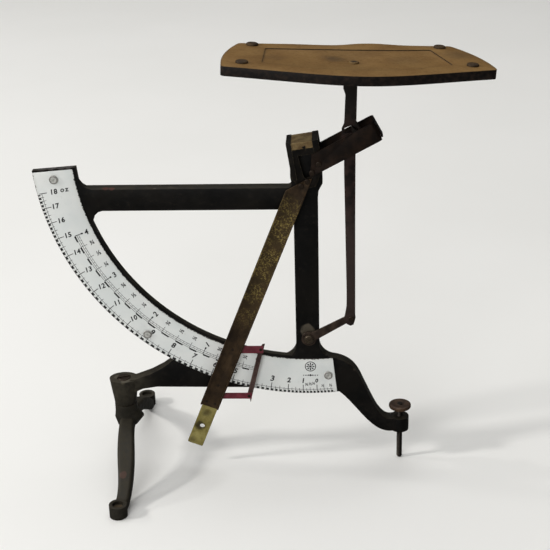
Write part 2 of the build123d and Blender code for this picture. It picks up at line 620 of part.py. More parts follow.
# unit vector square to the link
LINK_L = sqrt(LOAD_X ** 2 + LOAD_Z ** 2)
ACROSS_X, ACROSS_Z = -LOAD_Z / LINK_L, LOAD_X / LINK_L
LINK_BAR = tuple((x + ACROSS_X * half, z + ACROSS_Z * half) for x, z, half in (
    (GUIDE_X, GUIDE_Z, LINK_HALF_L), (PIN_X, PIN_Z, LINK_HALF_R),
    (PIN_X, PIN_Z, -LINK_HALF_R), (GUIDE_X, GUIDE_Z, -LINK_HALF_L)))

with BuildPart() as guide_link:
    with BuildSketch(front(Y_LINK_B)):
        polygon(LINK_BAR)
        # round ends, then their holes
        for spot, radius, mode in ((GUIDE_PIVOT, 4.6, Mode.ADD),
                                   ((PIN_X, PIN_Z), 2.6, Mode.ADD),
                                   (GUIDE_PIVOT, 1.55, Mode.SUBTRACT),
                                   ((PIN_X, PIN_Z), 1.26, Mode.SUBTRACT)):
            with Locations(spot):
                Circle(radius, mode=mode)
    extrude(amount=LINK_T)
save(guide_link, "guide_link")

with BuildPart() as guide_washer:
    with BuildSketch(front(-HALF_T)):
        with Locations(GUIDE_PIVOT):
            Circle(4.4)
            Circle(GUIDE_SCREW_R, mode=Mode.SUBTRACT)
    extrude(amount=-Y_LINK_B - HALF_T - LINK_GAP)
save(guide_washer, "guide_washer")

Y_GUIDE_HEAD = Y_LINK_F - LINK_GAP      # rear face of the screw head
Y_GUIDE_SCREW_B = 1.5
with BuildPart() as guide_pivot_screw:
    with BuildSketch(front(Y_GUIDE_HEAD)):
        with Locations(GUIDE_PIVOT):
            Circle(2.9)
    extrude(amount=1.5)
    fillet(guide_pivot_screw.edges().filter_by(GeomType.CIRCLE).sort_by(Axis.Y)[0], radius=0.9)
    with BuildSketch(front(Y_GUIDE_HEAD - 0.8)):
        with Locations(Location((GUIDE_X, GUIDE_Z, 0), (0, 0, 25))):
            Rectangle(SCREW_SLOT_L, SCREW_SLOT_W)
    extrude(amount=2, mode=Mode.SUBTRACT)
    with BuildSketch(front(Y_GUIDE_SCREW_B)):
        with Locations(GUIDE_PIVOT):
            Circle(GUIDE_SCREW_R)
    extrude(amount=Y_GUIDE_SCREW_B - Y_GUIDE_HEAD)
save(guide_pivot_screw, "guide_pivot_screw")

# ---------------------------------------------------------------- pan
PAN_TILT = radians(4.0)  # the pan sits low on its right
PAN_TURN = 9.0           # and is turned a little on its stem, degrees
PAN_X, PAN_Y, PAN_Z = 27.2, 6.9, 51.6
PAN_SKIRT = 5.4
PAN_SHEET = 1.0
PAN_MID_Y = -10.0        # the outline is scaled about this line
FIELD_DEPTH = 0.45
BUTTONS = ((-65.4, -19.3), (65.4, -19.3), (-55.6, 20.9), (55.6, 20.9))
BUTTON_SHANK_R = 1.5
PAN_RIVET = (-2.0, -15.2)
PAN_RIVET_R = 1.6

pan_top = Plane(origin=(PIVOT_X + PAN_X, PAN_Y, PIVOT_H + PAN_Z),
                x_dir=(cos(PAN_TILT), 0, -sin(PAN_TILT)),
                z_dir=(sin(PAN_TILT), 0, cos(PAN_TILT))).rotated((0, 0, PAN_TURN))

# (x, y) in the plane of the pan: wavy rear edge and bowed front edge
PAN_REAR = ((-63.0, 25.0), (-47, 24.6), (-30, 24.4), (-14, 23.3), (-4.0, 23.9), (5, 26.8),
            (13.0, 28.5), (21, 28.1), (32, 25.8), (46, 24.9), (63.0, 25.0))
PAN_FRONT = ((77.6, -27.6), (40, -38.2), (0, -45.4), (-40, -38.2), (-77.6, -27.6))
PAN_SIDE_X, PAN_SIDE_Y = 73.0, 2.0      # the leaning sides pass through here


def pan_outline(x_scale=1.0, y_scale=1.0):
    def scaled(point):
        return (point[0] * x_scale, PAN_MID_Y + (point[1] - PAN_MID_Y) * y_scale)

    rear = [scaled(point) for point in PAN_REAR]
    fore = [scaled(point) for point in PAN_FRONT]
    with BuildLine() as rim_line:
        Spline(*rear)
        ThreePointArc(rear[-1], scaled((PAN_SIDE_X, PAN_SIDE_Y)), fore[0])
        Spline(*fore)
        ThreePointArc(fore[-1], scaled((-PAN_SIDE_X, PAN_SIDE_Y)), rear[0])
    make_face(rim_line.edges())


def height_on_pan(edge):
    return (edge.center() - pan_top.origin).dot(pan_top.z_dir)


with BuildPart() as pan:
    with BuildSketch(pan_top.offset(-PAN_SKIRT)) as rim_sketch:
        pan_outline()
        fillet(rim_sketch.vertices(), radius=2.6)
    extrude(amount=PAN_SKIRT)
    # pressed field in the top
    with BuildSketch(pan_top.offset(-FIELD_DEPTH)) as field:
        with BuildLine():
            Line((-54.2, -18.0), (-48.8, 13.6))
            Spline((-48.8, 13.6), (-24, 13.3), (0, 13.0), (24, 13.6), (48.8, 15.4))
            Line((48.8, 15.4), (54.2, -18.0))
            Spline((54.2, -18.0), (30, -27.5), (0, -32.0), (-30, -27.5), (-54.2, -18.0))
        make_face()
        fillet(field.vertices(), radius=1.2)
    extrude(amount=2, mode=Mode.SUBTRACT)
    # holes for the buttons and for the centre rivet
    for spots, radius in ((BUTTONS, BUTTON_SHANK_R), ((PAN_RIVET,), PAN_RIVET_R)):
        with BuildSketch(pan_top.offset(-PAN_SKIRT - 2)):
            with Locations(*spots):
                Circle(radius)
        extrude(amount=PAN_SKIRT + 4, mode=Mode.SUBTRACT)
    # hollow underside
    with BuildSketch(pan_top.offset(-PAN_SKIRT - 1)) as inside:
        pan_outline(x_scale=1 - 1.2 / 76, y_scale=1 - 1.1 / 35)
        fillet(inside.vertices(), radius=2.0)
    extrude(amount=PAN_SKIRT + 1 - PAN_SHEET, mode=Mode.SUBTRACT)
save(pan, "pan")

with BuildPart() as pan_buttons:
    with BuildSketch(pan_top):
        with Locations(*BUTTONS):
            Circle(3.6)
    extrude(amount=1.3)
    fillet(pan_buttons.edges().filter_by(GeomType.CIRCLE).group_by(SortBy.LENGTH)[-1]
           .filter_by(lambda e: height_on_pan(e) > 1.0), radius=1.0)
    # shanks through the sheet, then heads under it
    for drop, radius, length in ((PAN_SHEET, BUTTON_SHANK_R, PAN_SHEET),
                                 (PAN_SHEET + 0.6, 2.4, 0.6)):
        with BuildSketch(pan_top.offset(-drop)):
            with Locations(*BUTTONS):
                Circle(radius)
        extrude(amount=length)
save(pan_buttons, "pan_buttons")

BRACKET_PLATE_T = 1.8
PAN_RIVET_DROP = PAN_SHEET + 2.4        # lower end of the rivet below the pan top
SOCKET_X = 25.65
with BuildPart() as pan_bracket:
    # plate under the pan
    with BuildSketch(pan_top.offset(-PAN_SHEET - BRACKET_PLATE_T)):
        with Locations((PAN_RIVET[0], PAN_RIVET[1] + 4)):
            RectangleRounded(30, 24, 3)
    extrude(amount=BRACKET_PLATE_T)
    # socket round the head of the stem
    with BuildSketch(level(41.6)):
        with Locations((SOCKET_X, (Y_STEM_F + Y_STEM_B) / 2)):
            Rectangle(11.0, 6.0)
    extrude(until=Until.NEXT)
    with BuildSketch(front(Y_STEM_B)):
        with Locations((SOCKET_X, 40.0)):
            Rectangle(7.9, 6.0)
    extrude(amount=STEM_T, mode=Mode.SUBTRACT)
    with BuildSketch(pan_top.offset(-PAN_RIVET_DROP)):
        with Locations(PAN_RIVET):
            Circle(PAN_RIVET_R)
    extrude(amount=2.4, mode=Mode.SUBTRACT)
save(pan_bracket, "pan_bracket")

with BuildPart() as pan_rivet:
    with BuildSketch(pan_top.offset(-FIELD_DEPTH)):
        with Locations(PAN_RIVET):
            Circle(3.0)
    extrude(amount=0.9)
    fillet(pan_rivet.edges().filter_by(GeomType.CIRCLE)
           .filter_by(lambda e: height_on_pan(e) > 0.2), radius=0.6)
    with BuildSketch(pan_top.offset(-PAN_RIVET_DROP)):
        with Locations(PAN_RIVET):
            Circle(PAN_RIVET_R)
    extrude(amount=PAN_RIVET_DROP - FIELD_DEPTH)
save(pan_rivet, "pan_rivet")

# ---------------------------------------------------------------- swing foot
HUB_TOP, HUB_BOT = -171.1, -186.0
FOOT_HOLE_R = 2.55
TOE_X, TOE_Y = -115.6, 67.6
# side view of the arch, (y, z) from its middle to one end
ARCH_TOP = ((0, -179.4), (9, -179.8), (22, -182.4), (38, -189.0), (52, -198.6),
            (60, -203.6), (66, -205.4))
ARCH_BOTTOM = ((0, -187.6), (18, -189.3), (33, -195.6), (47, -204.2), (61.0, -210.9),
               (66, -211.5))


def mirrored(half):
    # whole curve from -y to +y, given the half from the middle outwards
    return [(-y, z) for y, z in reversed(half[1:])] + list(half)


with BuildPart() as swing_foot:
    # arched bar from toe to toe: side view first, then its curved plan
    with BuildSketch(Plane(origin=(PIVOT_X - 140.0, 0, PIVOT_H), x_dir=(0, 1, 0),
                           z_dir=(1, 0, 0))):
        with BuildLine():
            Spline(*mirrored(ARCH_TOP))
            Line((66, -205.4), (66, -211.5))
            Spline(*reversed(mirrored(ARCH_BOTTOM)))
            Line((-66, -211.5), (-66, -205.4))
        make_face()
    extrude(amount=50)
    with BuildSketch(level(-220)):
        with BuildLine():
            Spline((-121.8, 0), (-121.2, -20), (-119.4, -38), (-117.7, -52), (-120.2, -67))
            Line((-120.2, -67), (-111.2, -67))
            Spline((-111.2, -67), (-109.2, -52), (-109.0, -38), (-111.0, -20), (-112.6, 0))
            Spline((-112.6, 0), (-111.0, 20), (-109.0, 38), (-109.2, 52), (-111.2, 67))
            Line((-111.2, 67), (-120.2, 67))
            Spline((-120.2, 67), (-117.7, 52), (-119.4, 38), (-121.2, 20), (-121.8, 0))
        make_face()
    extrude(amount=60, mode=Mode.INTERSECT)
    # round the upper edges with the largest radius that works
    for radius in (2.2, 1.6, 1.0):
        upper = [e for e in swing_foot.edges() if e.length > 55 and e.center().Z > 12]
        if try_fillet(upper, radius):
            break
    # round toe pads, cupped on top
    with BuildSketch(level(-PIVOT_H)):
        with Locations((TOE_X, -TOE_Y), (TOE_X, TOE_Y)):
            Circle(5.5)
    extrude(amount=8.0)
    with BuildSketch(level(-PIVOT_H + 5.8)):
        with Locations((TOE_X, -TOE_Y), (TOE_X, TOE_Y)):
            Circle(3.5)
    extrude(amount=6.0, mode=Mode.SUBTRACT)
    # hub, swelling to the right below the boss
    with BuildSketch(level(HUB_BOT)):
        with Locations((FOOT_BOSS_X + 0.4, 0)):
            Circle(6.6)
    with BuildSketch(level(-181.0)):
        with Locations((FOOT_BOSS_X + 1.7, 0)):
            Ellipse(9.3, 7.3)
    with BuildSketch(level(-176.0)):
        with Locations((FOOT_BOSS_X + 0.2, 0)):
            Circle(7.2)
    with BuildSketch(level(HUB_TOP)):
        with Locations((FOOT_BOSS_X, 0)):
            Circle(7.0)
    loft(ruled=True)
    # through hole, then counterbore from below
    for radius, height in ((FOOT_HOLE_R, 30), (4.6, 8.0 + 2.0)):
        with BuildSketch(level(HUB_BOT - 8)):
            with Locations((FOOT_BOSS_X, 0)):
                Circle(radius)
        extrude(amount=height, mode=Mode.SUBTRACT)
save(swing_foot, "swing_foot")

with BuildPart() as foot_washer:
    with BuildSketch(level(HUB_TOP + 0.05)):
        with Locations((FOOT_BOSS_X, 0)):
            Circle(6.2)
            Circle(FOOT_HOLE_R, mode=Mode.SUBTRACT)
    extrude(amount=FOOT_BOSS_BOT - HUB_TOP - 0.05)
save(foot_washer, "foot_washer")

FOOT_SCREW_R, FOOT_SCREW_HEAD_R = 2.5, 4.2
FOOT_HEAD_Z = FOOT_BOSS_TOP - 1.2       # underside of the screw head
FOOT_SCREW_BOT = HUB_BOT - 0.6
with BuildPart() as foot_pivot_screw:
    with BuildSketch(level(FOOT_HEAD_Z)):
        with Locations((FOOT_BOSS_X, 0)):
            Circle(FOOT_SCREW_HEAD_R)
    extrude(amount=1.7)
    fillet(foot_pivot_screw.edges().filter_by(GeomType.CIRCLE).sort_by(Axis.Z)[-1], radius=0.5)
    with BuildSketch(level(FOOT_BOSS_TOP - 0.4)):
        with Locations(Location((FOOT_BOSS_X, 0, 0), (0, 0, 20))):
            Rectangle(12, 1.2)
    extrude(amount=3, mode=Mode.SUBTRACT)
    with BuildSketch(level(FOOT_SCREW_BOT)):
        with Locations((FOOT_BOSS_X, 0)):
            Circle(FOOT_SCREW_R)
    extrude(amount=FOOT_HEAD_Z - FOOT_SCREW_BOT)
save(foot_pivot_screw, "foot_pivot_screw")

with BuildPart() as foot_nut:
    with BuildSketch(level(FOOT_SCREW_BOT)):
        with Locations((FOOT_BOSS_X, 0)):
            Circle(4.2)
            Circle(FOOT_SCREW_R, mode=Mode.SUBTRACT)
    extrude(amount=2.55)
save(foot_nut, "foot_nut")

# ---------------------------------------------------------------- levelling screw
LEVEL_SCREW_R = 1.8
LEVEL_SCREW_TOP = -172.2
with BuildPart() as levelling_screw:
    with BuildSketch(level(-PIVOT_H)):
        with Locations((SCREW_BOSS_X, 0)):
            Circle(LEVEL_SCREW_R)
    extrude(amount=PIVOT_H + LEVEL_SCREW_TOP)
    chamfer(levelling_screw.edges().filter_by(GeomType.CIRCLE).sort_by(Axis.Z)[0], length=0.7)
save(levelling_screw, "levelling_screw")

KNOB_R, KNOB_H, KNOB_BOT = 7.0, 2.6, -175.2
with BuildPart() as levelling_knob:
    with BuildSketch(level(KNOB_BOT)):
        with Locations((SCREW_BOSS_X, 0)):
            Circle(KNOB_R)
    extrude(amount=KNOB_H)
    # top rim, then bottom rim
    for end, radius in ((-1, 0.9), (0, 0.7)):
        fillet(levelling_knob.edges().filter_by(GeomType.CIRCLE).sort_by(Axis.Z)[end],
               radius=radius)
    # collar under the knob
    with BuildSketch(level(KNOB_BOT - 1.6)):
        with Locations((SCREW_BOSS_X, 0)):
            Circle(3.2)
    extrude(amount=2.2)
    with BuildSketch(level(-180)):
        with Locations((SCREW_BOSS_X, 0)):
            Circle(LEVEL_SCREW_R)
    extrude(amount=20, mode=Mode.SUBTRACT)
save(levelling_knob, "levelling_knob")
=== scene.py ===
# A pendulum balance: a pan on a stem, a lever on the main pivot, and a pendulum that
# swings in front of an enamelled dial marked in ounces. The dial faces -Y, X runs to the
# right, Z is up and y = 0 is the mid-plane. Sizes are millimetres; meshes are metres.
import math
from functools import cached_property, reduce

import bmesh
import bpy
from mathutils import Matrix, Vector


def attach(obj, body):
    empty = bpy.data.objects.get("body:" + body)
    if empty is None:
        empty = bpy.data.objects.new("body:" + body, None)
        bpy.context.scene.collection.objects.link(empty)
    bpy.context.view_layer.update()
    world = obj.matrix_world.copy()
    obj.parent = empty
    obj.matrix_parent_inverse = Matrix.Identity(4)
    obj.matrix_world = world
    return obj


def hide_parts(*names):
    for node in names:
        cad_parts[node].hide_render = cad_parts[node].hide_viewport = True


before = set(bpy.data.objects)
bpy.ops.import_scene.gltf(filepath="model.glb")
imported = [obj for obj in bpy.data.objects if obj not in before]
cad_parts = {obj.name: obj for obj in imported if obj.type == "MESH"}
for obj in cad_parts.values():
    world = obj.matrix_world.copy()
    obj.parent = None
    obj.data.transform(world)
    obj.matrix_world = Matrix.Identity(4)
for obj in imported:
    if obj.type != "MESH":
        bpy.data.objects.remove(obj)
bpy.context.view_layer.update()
scene = bpy.context.scene

PIVOT_X, PIVOT_Z = 27.24, 211.5     # main pivot in the row frame
DIAL_Y = -4.6                       # front of the enamelled plate


def at(x, y, z):
    """A point given from the main pivot (y from the mid-plane), in row frame millimetres."""
    return (PIVOT_X + x, y, PIVOT_Z + z)


def metres(x, y, z):
    """A point given from the main pivot, in row frame metres."""
    return Vector(at(x, y, z)) / 1000


PIVOT = at(0, 0, 0)
PENDULUM_TILT = math.radians(21.7)
PENDULUM_AXIS = (-math.sin(PENDULUM_TILT), 0.0, -math.cos(PENDULUM_TILT))   # downwards
ARM_TILT = math.radians(28.4)
HOLE_X, HOLE_Z = -68.83, -183.77    # hole in the pendulum tongue, from the pivot


# ------------------------------------------------------------------ node building
def put(tree, socket, value):
    if isinstance(value, bpy.types.NodeSocket):
        tree.links.new(value, socket)
    elif socket.type == "RGBA":
        socket.default_value = (*value, 1.0)
    else:
        socket.default_value = value


def add_node(tree, kind, inputs=None, **settings):
    """Adds a node; inputs maps socket names or numbers to values or to output sockets."""
    node = tree.nodes.new(kind)
    for key, value in settings.items():
        setattr(node, key, value)
    for key, value in (inputs or {}).items():
        put(tree, node.inputs[key], value)
    return node


def scaled(colour, factor):
    return tuple(channel * factor for channel in colour)


class Material:
    """Builder for a procedural material; places and sizes in its textures are millimetres."""

    SOCKETS = {"colour": "Base Color", "rough": "Roughness", "metal": "Metallic",
               "coat": "Coat Weight", "coat_rough": "Coat Roughness",
               "spec": "Specular IOR Level"}

    def __init__(self, name):
        self.material = bpy.data.materials.new(name)
        self.material.use_nodes = True
        self.tree = self.material.node_tree
        self.tree.nodes.clear()
        self.output = self.node("ShaderNodeOutputMaterial")
        self.surface = self.node("ShaderNodeBsdfPrincipled")
        put(self.tree, self.output.inputs[0], self.surface.outputs[0])
        place = self.node("ShaderNodeTexCoord").outputs["Object"]
        self.position = self.vector("SCALE", place, scale=1000.0)
        self.normal = None

    def node(self, kind, inputs=None, **settings):
        return add_node(self.tree, kind, inputs, **settings)

    @cached_property
    def geometry(self):
        return self.node("ShaderNodeNewGeometry").outputs

    def vector(self, operation, a, b=None, scale=None):
        inputs = {0: a}
        if b is not None:
            inputs[1] = b
        if scale is not None:
            inputs["Scale"] = scale
        node = self.node("ShaderNodeVectorMath", inputs, operation=operation)
        return node.outputs["Value" if operation in ("DOT_PRODUCT", "DISTANCE") else "Vector"]

    def math(self, operation, a, b=0.0, clamp=False):
        return self.node("ShaderNodeMath", {0: a, 1: b},
                         operation=operation, use_clamp=clamp).outputs[0]

    def times(self, a, b):
        return self.math("MULTIPLY", a, b)

    def noise_node(self, scale, detail, rough, grain=None):
        """Noise; grain is a pair (scale per axis, rotation) that stretches it."""
        place = self.position
        if grain:
            place = self.node("ShaderNodeMapping", {
                "Vector": place, "Scale": grain[0], "Rotation": grain[1]}).outputs[0]
        return self.node("ShaderNodeTexNoise", {
            "Scale": scale, "Detail": detail, "Roughness": rough, "Vector": place})

    def noise(self, scale=1.0, detail=5, rough=0.6, grain=None):
        return self.noise_node(scale, detail, rough, grain).outputs["Fac"]

    def map_range(self, value, span, to, interpolation):
        return self.node("ShaderNodeMapRange", {
            "Value": value, "From Min": span[0], "From Max": span[1],
            "To Min": to[0], "To Max": to[1]}, interpolation_type=interpolation).outputs["Result"]

    def step(self, value, span, to=(0, 1)):
        """Smooth step over a span of the value."""
        return self.map_range(value, span, to, "SMOOTHSTEP")

    def spread(self, noise, to):
        """Linear map of the usual reach of a noise."""
        return self.map_range(noise, (0.3, 0.7), to, "LINEAR")

    def layer(self, base, colour, factor, amount=None):
        """Lays a colour over the base by a factor, thinned by an amount."""
        if amount is not None:
            factor = self.times(factor, amount)
        return self.node("ShaderNodeMix", {0: factor, 6: base, 7: colour},
                         data_type="RGBA").outputs[2]

    def level(self, base, value, factor):
        """Moves a number from the base to a value by a factor."""
        return self.node("ShaderNodeMix", {0: factor, 2: base, 3: value},
                         data_type="FLOAT").outputs[0]

    def up(self):
        return self.node("ShaderNodeSeparateXYZ", {0: self.geometry["Normal"]}).outputs["Z"]

    def facing(self, axis):
        return self.vector("DOT_PRODUCT", self.geometry["Normal"], axis)

    def along(self, origin, axis):
        """Distance along an axis from a point."""
        return self.vector("DOT_PRODUCT", self.vector("SUBTRACT", self.position, origin), axis)

    def spot(self, point, inner, outer, wobble, grain, amount=1.0):
        """An uneven spot that fades between two radii; grain is the scale of the wobble."""
        noise = self.noise_node(grain, detail=4, rough=0.5).outputs["Color"]
        shift = self.vector("SUBTRACT", noise, (0.5, 0.5, 0.5))
        shift = self.vector("SCALE", shift, scale=wobble * 2)
        place = self.vector("ADD", self.position, shift)
        distance = self.vector("DISTANCE", place, point)
        return self.step(distance, span=(inner, outer), to=(amount, 0))

    def specks(self, scale, size, patch_scale, patch_span):
        """Small round specks, kept to patches."""
        cells = self.node("ShaderNodeTexVoronoi", {"Scale": scale, "Vector": self.position})
        dots = self.step(cells.outputs["Distance"], span=(0, size), to=(1, 0))
        patches = self.noise(scale=patch_scale, detail=2, rough=0.5)
        return self.times(dots, self.step(patches, span=patch_span))

    def edge(self, radius, span, samples=4):
        """0 on flat faces, up to 1 at outer and inner edges."""
        bevel = self.node("ShaderNodeBevel", {"Radius": radius / 1000}, samples=samples)
        flat = self.vector("DOT_PRODUCT", bevel.outputs[0], self.geometry["True Normal"])
        return self.step(self.math("SUBTRACT", 1.0, flat, clamp=True), span)

    def bump(self, height, strength, depth):
        inputs = {"Strength": strength, "Distance": depth / 1000, "Height": height}
        if self.normal is not None:
            inputs["Normal"] = self.normal
        self.normal = self.node("ShaderNodeBump", inputs).outputs[0]
        put(self.tree, self.surface.inputs["Normal"], self.normal)

    def finish(self, **values):
        for key, value in values.items():
            put(self.tree, self.surface.inputs[self.SOCKETS[key]], value)
        return self.material


# ------------------------------------------------------------------ material kinds
def stove_paint(name, dust_and_top_light_amount=1.0, chips=(), lift=0.0, olive=None):
    """Old black stove paint on cast iron: lumps, worn brown edges, and a paler layer on what faces
    up that is partly settled dirt and partly painted top light.

    chips: (point, radius, colour); lift: share of a paler tone; olive: a spot of olive tone.
    """
    mat = Material(name)
    broad = mat.noise(scale=0.045, detail=3, rough=0.5)
    mid = mat.noise(scale=0.35)
    fine = mat.noise(scale=2.2, detail=4)
    base = mat.layer((0.0030, 0.0028, 0.0026), (0.0062, 0.0050, 0.0038),
                     mat.step(broad, span=(0.38, 0.66)))
    base = mat.layer(base, (0.0105, 0.0078, 0.0050),
                     mat.step(mid, span=(0.55, 0.72), to=(0, 0.75)))
    if lift:
        base = mat.layer(base, (0.0300, 0.0265, 0.0185),
                         mat.step(mid, span=(0.25, 0.75), to=(lift * 0.55, lift)))
    if olive:
        zone = mat.spot(**olive, wobble=4.0, grain=0.12)
        mottle = mat.step(mid, span=(0.25, 0.75), to=(0.35, 0.9))
        base = mat.layer(base, (0.0410, 0.0355, 0.0240), mat.times(zone, mottle))
    # paler on faces turned up: partly settled dirt, partly painted top light
    up = mat.step(mat.up(), span=(0.05, 0.85))
    dust_and_top_light = mat.noise(scale=0.28, rough=0.65)
    dust_and_top_light = mat.times(up, mat.step(dust_and_top_light, span=(0.28, 0.66), to=(0.15, 1.0)))
    base = mat.layer(base, (0.040, 0.033, 0.021), dust_and_top_light, amount=0.62 * dust_and_top_light_amount)
    worn = mat.times(mat.edge(radius=0.9, span=(0.03, 0.28)),
                     mat.step(mat.noise(scale=0.6, rough=0.7), span=(0.42, 0.62)))
    base = mat.layer(base, (0.040, 0.027, 0.016), worn, amount=0.75)
    specks = mat.specks(scale=0.85, size=0.22, patch_scale=0.12, patch_span=(0.52, 0.62))
    base = mat.layer(base, (0.085, 0.060, 0.038), specks, amount=0.5)
    for point, radius, colour in chips:
        chip = mat.spot(point, radius * 0.72, radius, wobble=radius * 0.55, grain=0.25)
        base = mat.layer(base, colour, chip)
    rough = mat.spread(mid, to=(0.30, 0.52))
    rough = mat.level(rough, 0.74, mat.times(dust_and_top_light, 0.8))
    rough = mat.level(rough, 0.55, worn)
    lumps = mat.math("ADD", mat.times(mid, 0.8), mat.times(fine, 0.25))
    mat.bump(lumps, strength=0.42, depth=0.22)
    return mat.finish(colour=base, rough=rough, spec=0.22)


def rubbed_gold(mat, base, gold):
    """Golden freckles on a stretch of the pendulum, measured down from the pivot."""
    down = mat.along(PIVOT, PENDULUM_AXIS)
    zone = mat.times(mat.step(down, span=(24, 44)), mat.step(down, span=(88, 128), to=(1, 0)))
    freckles = mat.step(mat.noise(scale=0.95, detail=8, rough=0.80), span=(0.505, 0.575))
    patches = mat.step(mat.noise(scale=0.13, detail=3, rough=0.5), span=(0.34, 0.56))
    freckles = mat.times(zone, mat.times(freckles, patches))
    base = mat.layer(base, gold, freckles, amount=0.95)
    return mat.layer(base, scaled(gold, 0.45), zone, amount=0.14)


def browned(name, dark, light, edge_colour, metal, edge_wear_and_light=0.6, rough=(0.36, 0.6), gold=None,
            grain=None, spots_and_shade=(), spec=0.4):
    """Patinated brass or browned steel, mottled, with rubbed edges; on the saddle the bright edges
    are partly painted edge highlight.

    spots_and_shade: (point, inner radius, outer radius, colour, amount), stains and painted shade.
    """
    mat = Material(name)
    broad = mat.noise(scale=0.16, rough=0.62)
    mottle = mat.noise(scale=0.9, rough=0.65)
    base = mat.layer(dark, light, mat.step(broad, span=(0.34, 0.68)))
    base = mat.layer(base, scaled(dark, 0.35), mat.step(mottle, span=(0.56, 0.74), to=(0, 0.6)))
    if gold:
        base = rubbed_gold(mat, base, gold)
    # edges lightened by rubbing; at the saddle's high setting partly painted edge highlight
    worn = mat.times(mat.edge(radius=0.5, span=(0.02, 0.25)),
                     mat.step(mat.noise(scale=1.1, rough=0.7), span=(0.40, 0.60)))
    base = mat.layer(base, edge_colour, worn, amount=edge_wear_and_light)
    # spots: stains, and on the stem a painted shadow of the pan
    for point, inner, outer, colour, amount in spots_and_shade:
        spot = mat.spot(point, inner, outer, wobble=outer * 0.35, grain=0.5, amount=amount)
        base = mat.layer(base, colour, spot)
    roughness = mat.level(mat.spread(mottle, to=rough), 0.34, worn)
    if grain:
        scratches = mat.noise(detail=3, grain=grain)
        mat.bump(scratches, strength=0.08, depth=0.05)
        roughness = mat.math("ADD", roughness, mat.spread(scratches, to=(-0.06, 0.06)))
    mat.bump(mat.math("ADD", broad, mat.times(mottle, 0.4)), strength=0.25, depth=0.10)
    return mat.finish(colour=base, rough=roughness, metal=metal, spec=spec)


def enamel(name, inner_radius=138.2, outer_radius=162.4):
    """Cool white vitreous enamel: glossy, slightly wavy, with dark chips on its curved edges."""
    mat = Material(name)
    broad = mat.noise(scale=0.05, detail=4, rough=0.55)
    film = mat.noise(scale=0.5)
    base = mat.layer((0.67, 0.70, 0.69), (0.745, 0.758, 0.738),
                     mat.step(broad, span=(0.3, 0.7)))
    base = mat.layer(base, (0.50, 0.50, 0.46), mat.step(film, span=(0.60, 0.78), to=(0, 0.35)))
    specks = mat.specks(scale=0.42, size=0.10, patch_scale=0.08, patch_span=(0.55, 0.6))
    base = mat.layer(base, (0.12, 0.10, 0.07), specks, amount=0.65)
    # uneven distance from the two curved edges of the plate
    x = mat.along(PIVOT, (1, 0, 0))
    z = mat.along(PIVOT, (0, 0, 1))
    radius = mat.math("SQRT", mat.math("ADD", mat.times(x, x), mat.times(z, z)))
    inner = mat.math("ADD", mat.math("SUBTRACT", radius, inner_radius),
                     mat.spread(mat.noise(scale=0.8, rough=0.75), to=(0.55, -0.75)))
    outer = mat.math("ADD", mat.math("SUBTRACT", outer_radius, radius),
                     mat.spread(mat.noise(scale=0.7, rough=0.75), to=(0.40, -0.55)))
    near = mat.math("MINIMUM", inner, outer)
    chip = mat.step(near, span=(0.0, 0.16), to=(1, 0))
    halo = mat.step(near, span=(0.1, 2.2), to=(0.5, 0))
    base = mat.layer(base, (0.42, 0.40, 0.34), halo, amount=0.35)
    base = mat.layer(base, (0.022, 0.017, 0.013), chip)
    side = mat.step(mat.math("ABSOLUTE", mat.facing((0, 1, 0))), span=(0.5, 0.8), to=(1, 0))
    base = mat.layer(base, (0.035, 0.028, 0.022), side)
    mat.bump(mat.noise(scale=0.22, detail=2, rough=0.5), strength=0.12, depth=0.25)
    mat.bump(mat.math("SUBTRACT", 1.0, chip), strength=0.5, depth=0.12)
    bare = mat.math("MAXIMUM", chip, side)
    rough = mat.level(mat.spread(film, to=(0.14, 0.26)), 0.7, bare)
    return mat.finish(colour=base, rough=rough, coat=0.25, coat_rough=0.08, spec=0.5)


PAN_UP = (0.0689, 0.0109, 0.9976)       # normal of the pan's top
PAN_CENTRE = at(27.2, 6.9, 51.6)
PAN_LONG = (0.985, 0.156, -0.07)        # direction of the pan's length
PAN_ACROSS_Y = 0.988                    # y for each millimetre across the pan
# stains on the pan: along, across, inner radius, outer radius, amount
PAN_STAINS = ((-11.5, -6.5, 1, 9, 0.6), (30, -8, 2, 16, 0.2),
              (-44, -6, 1, 9, 0.22), (62, 4, 1, 14, 0.4))


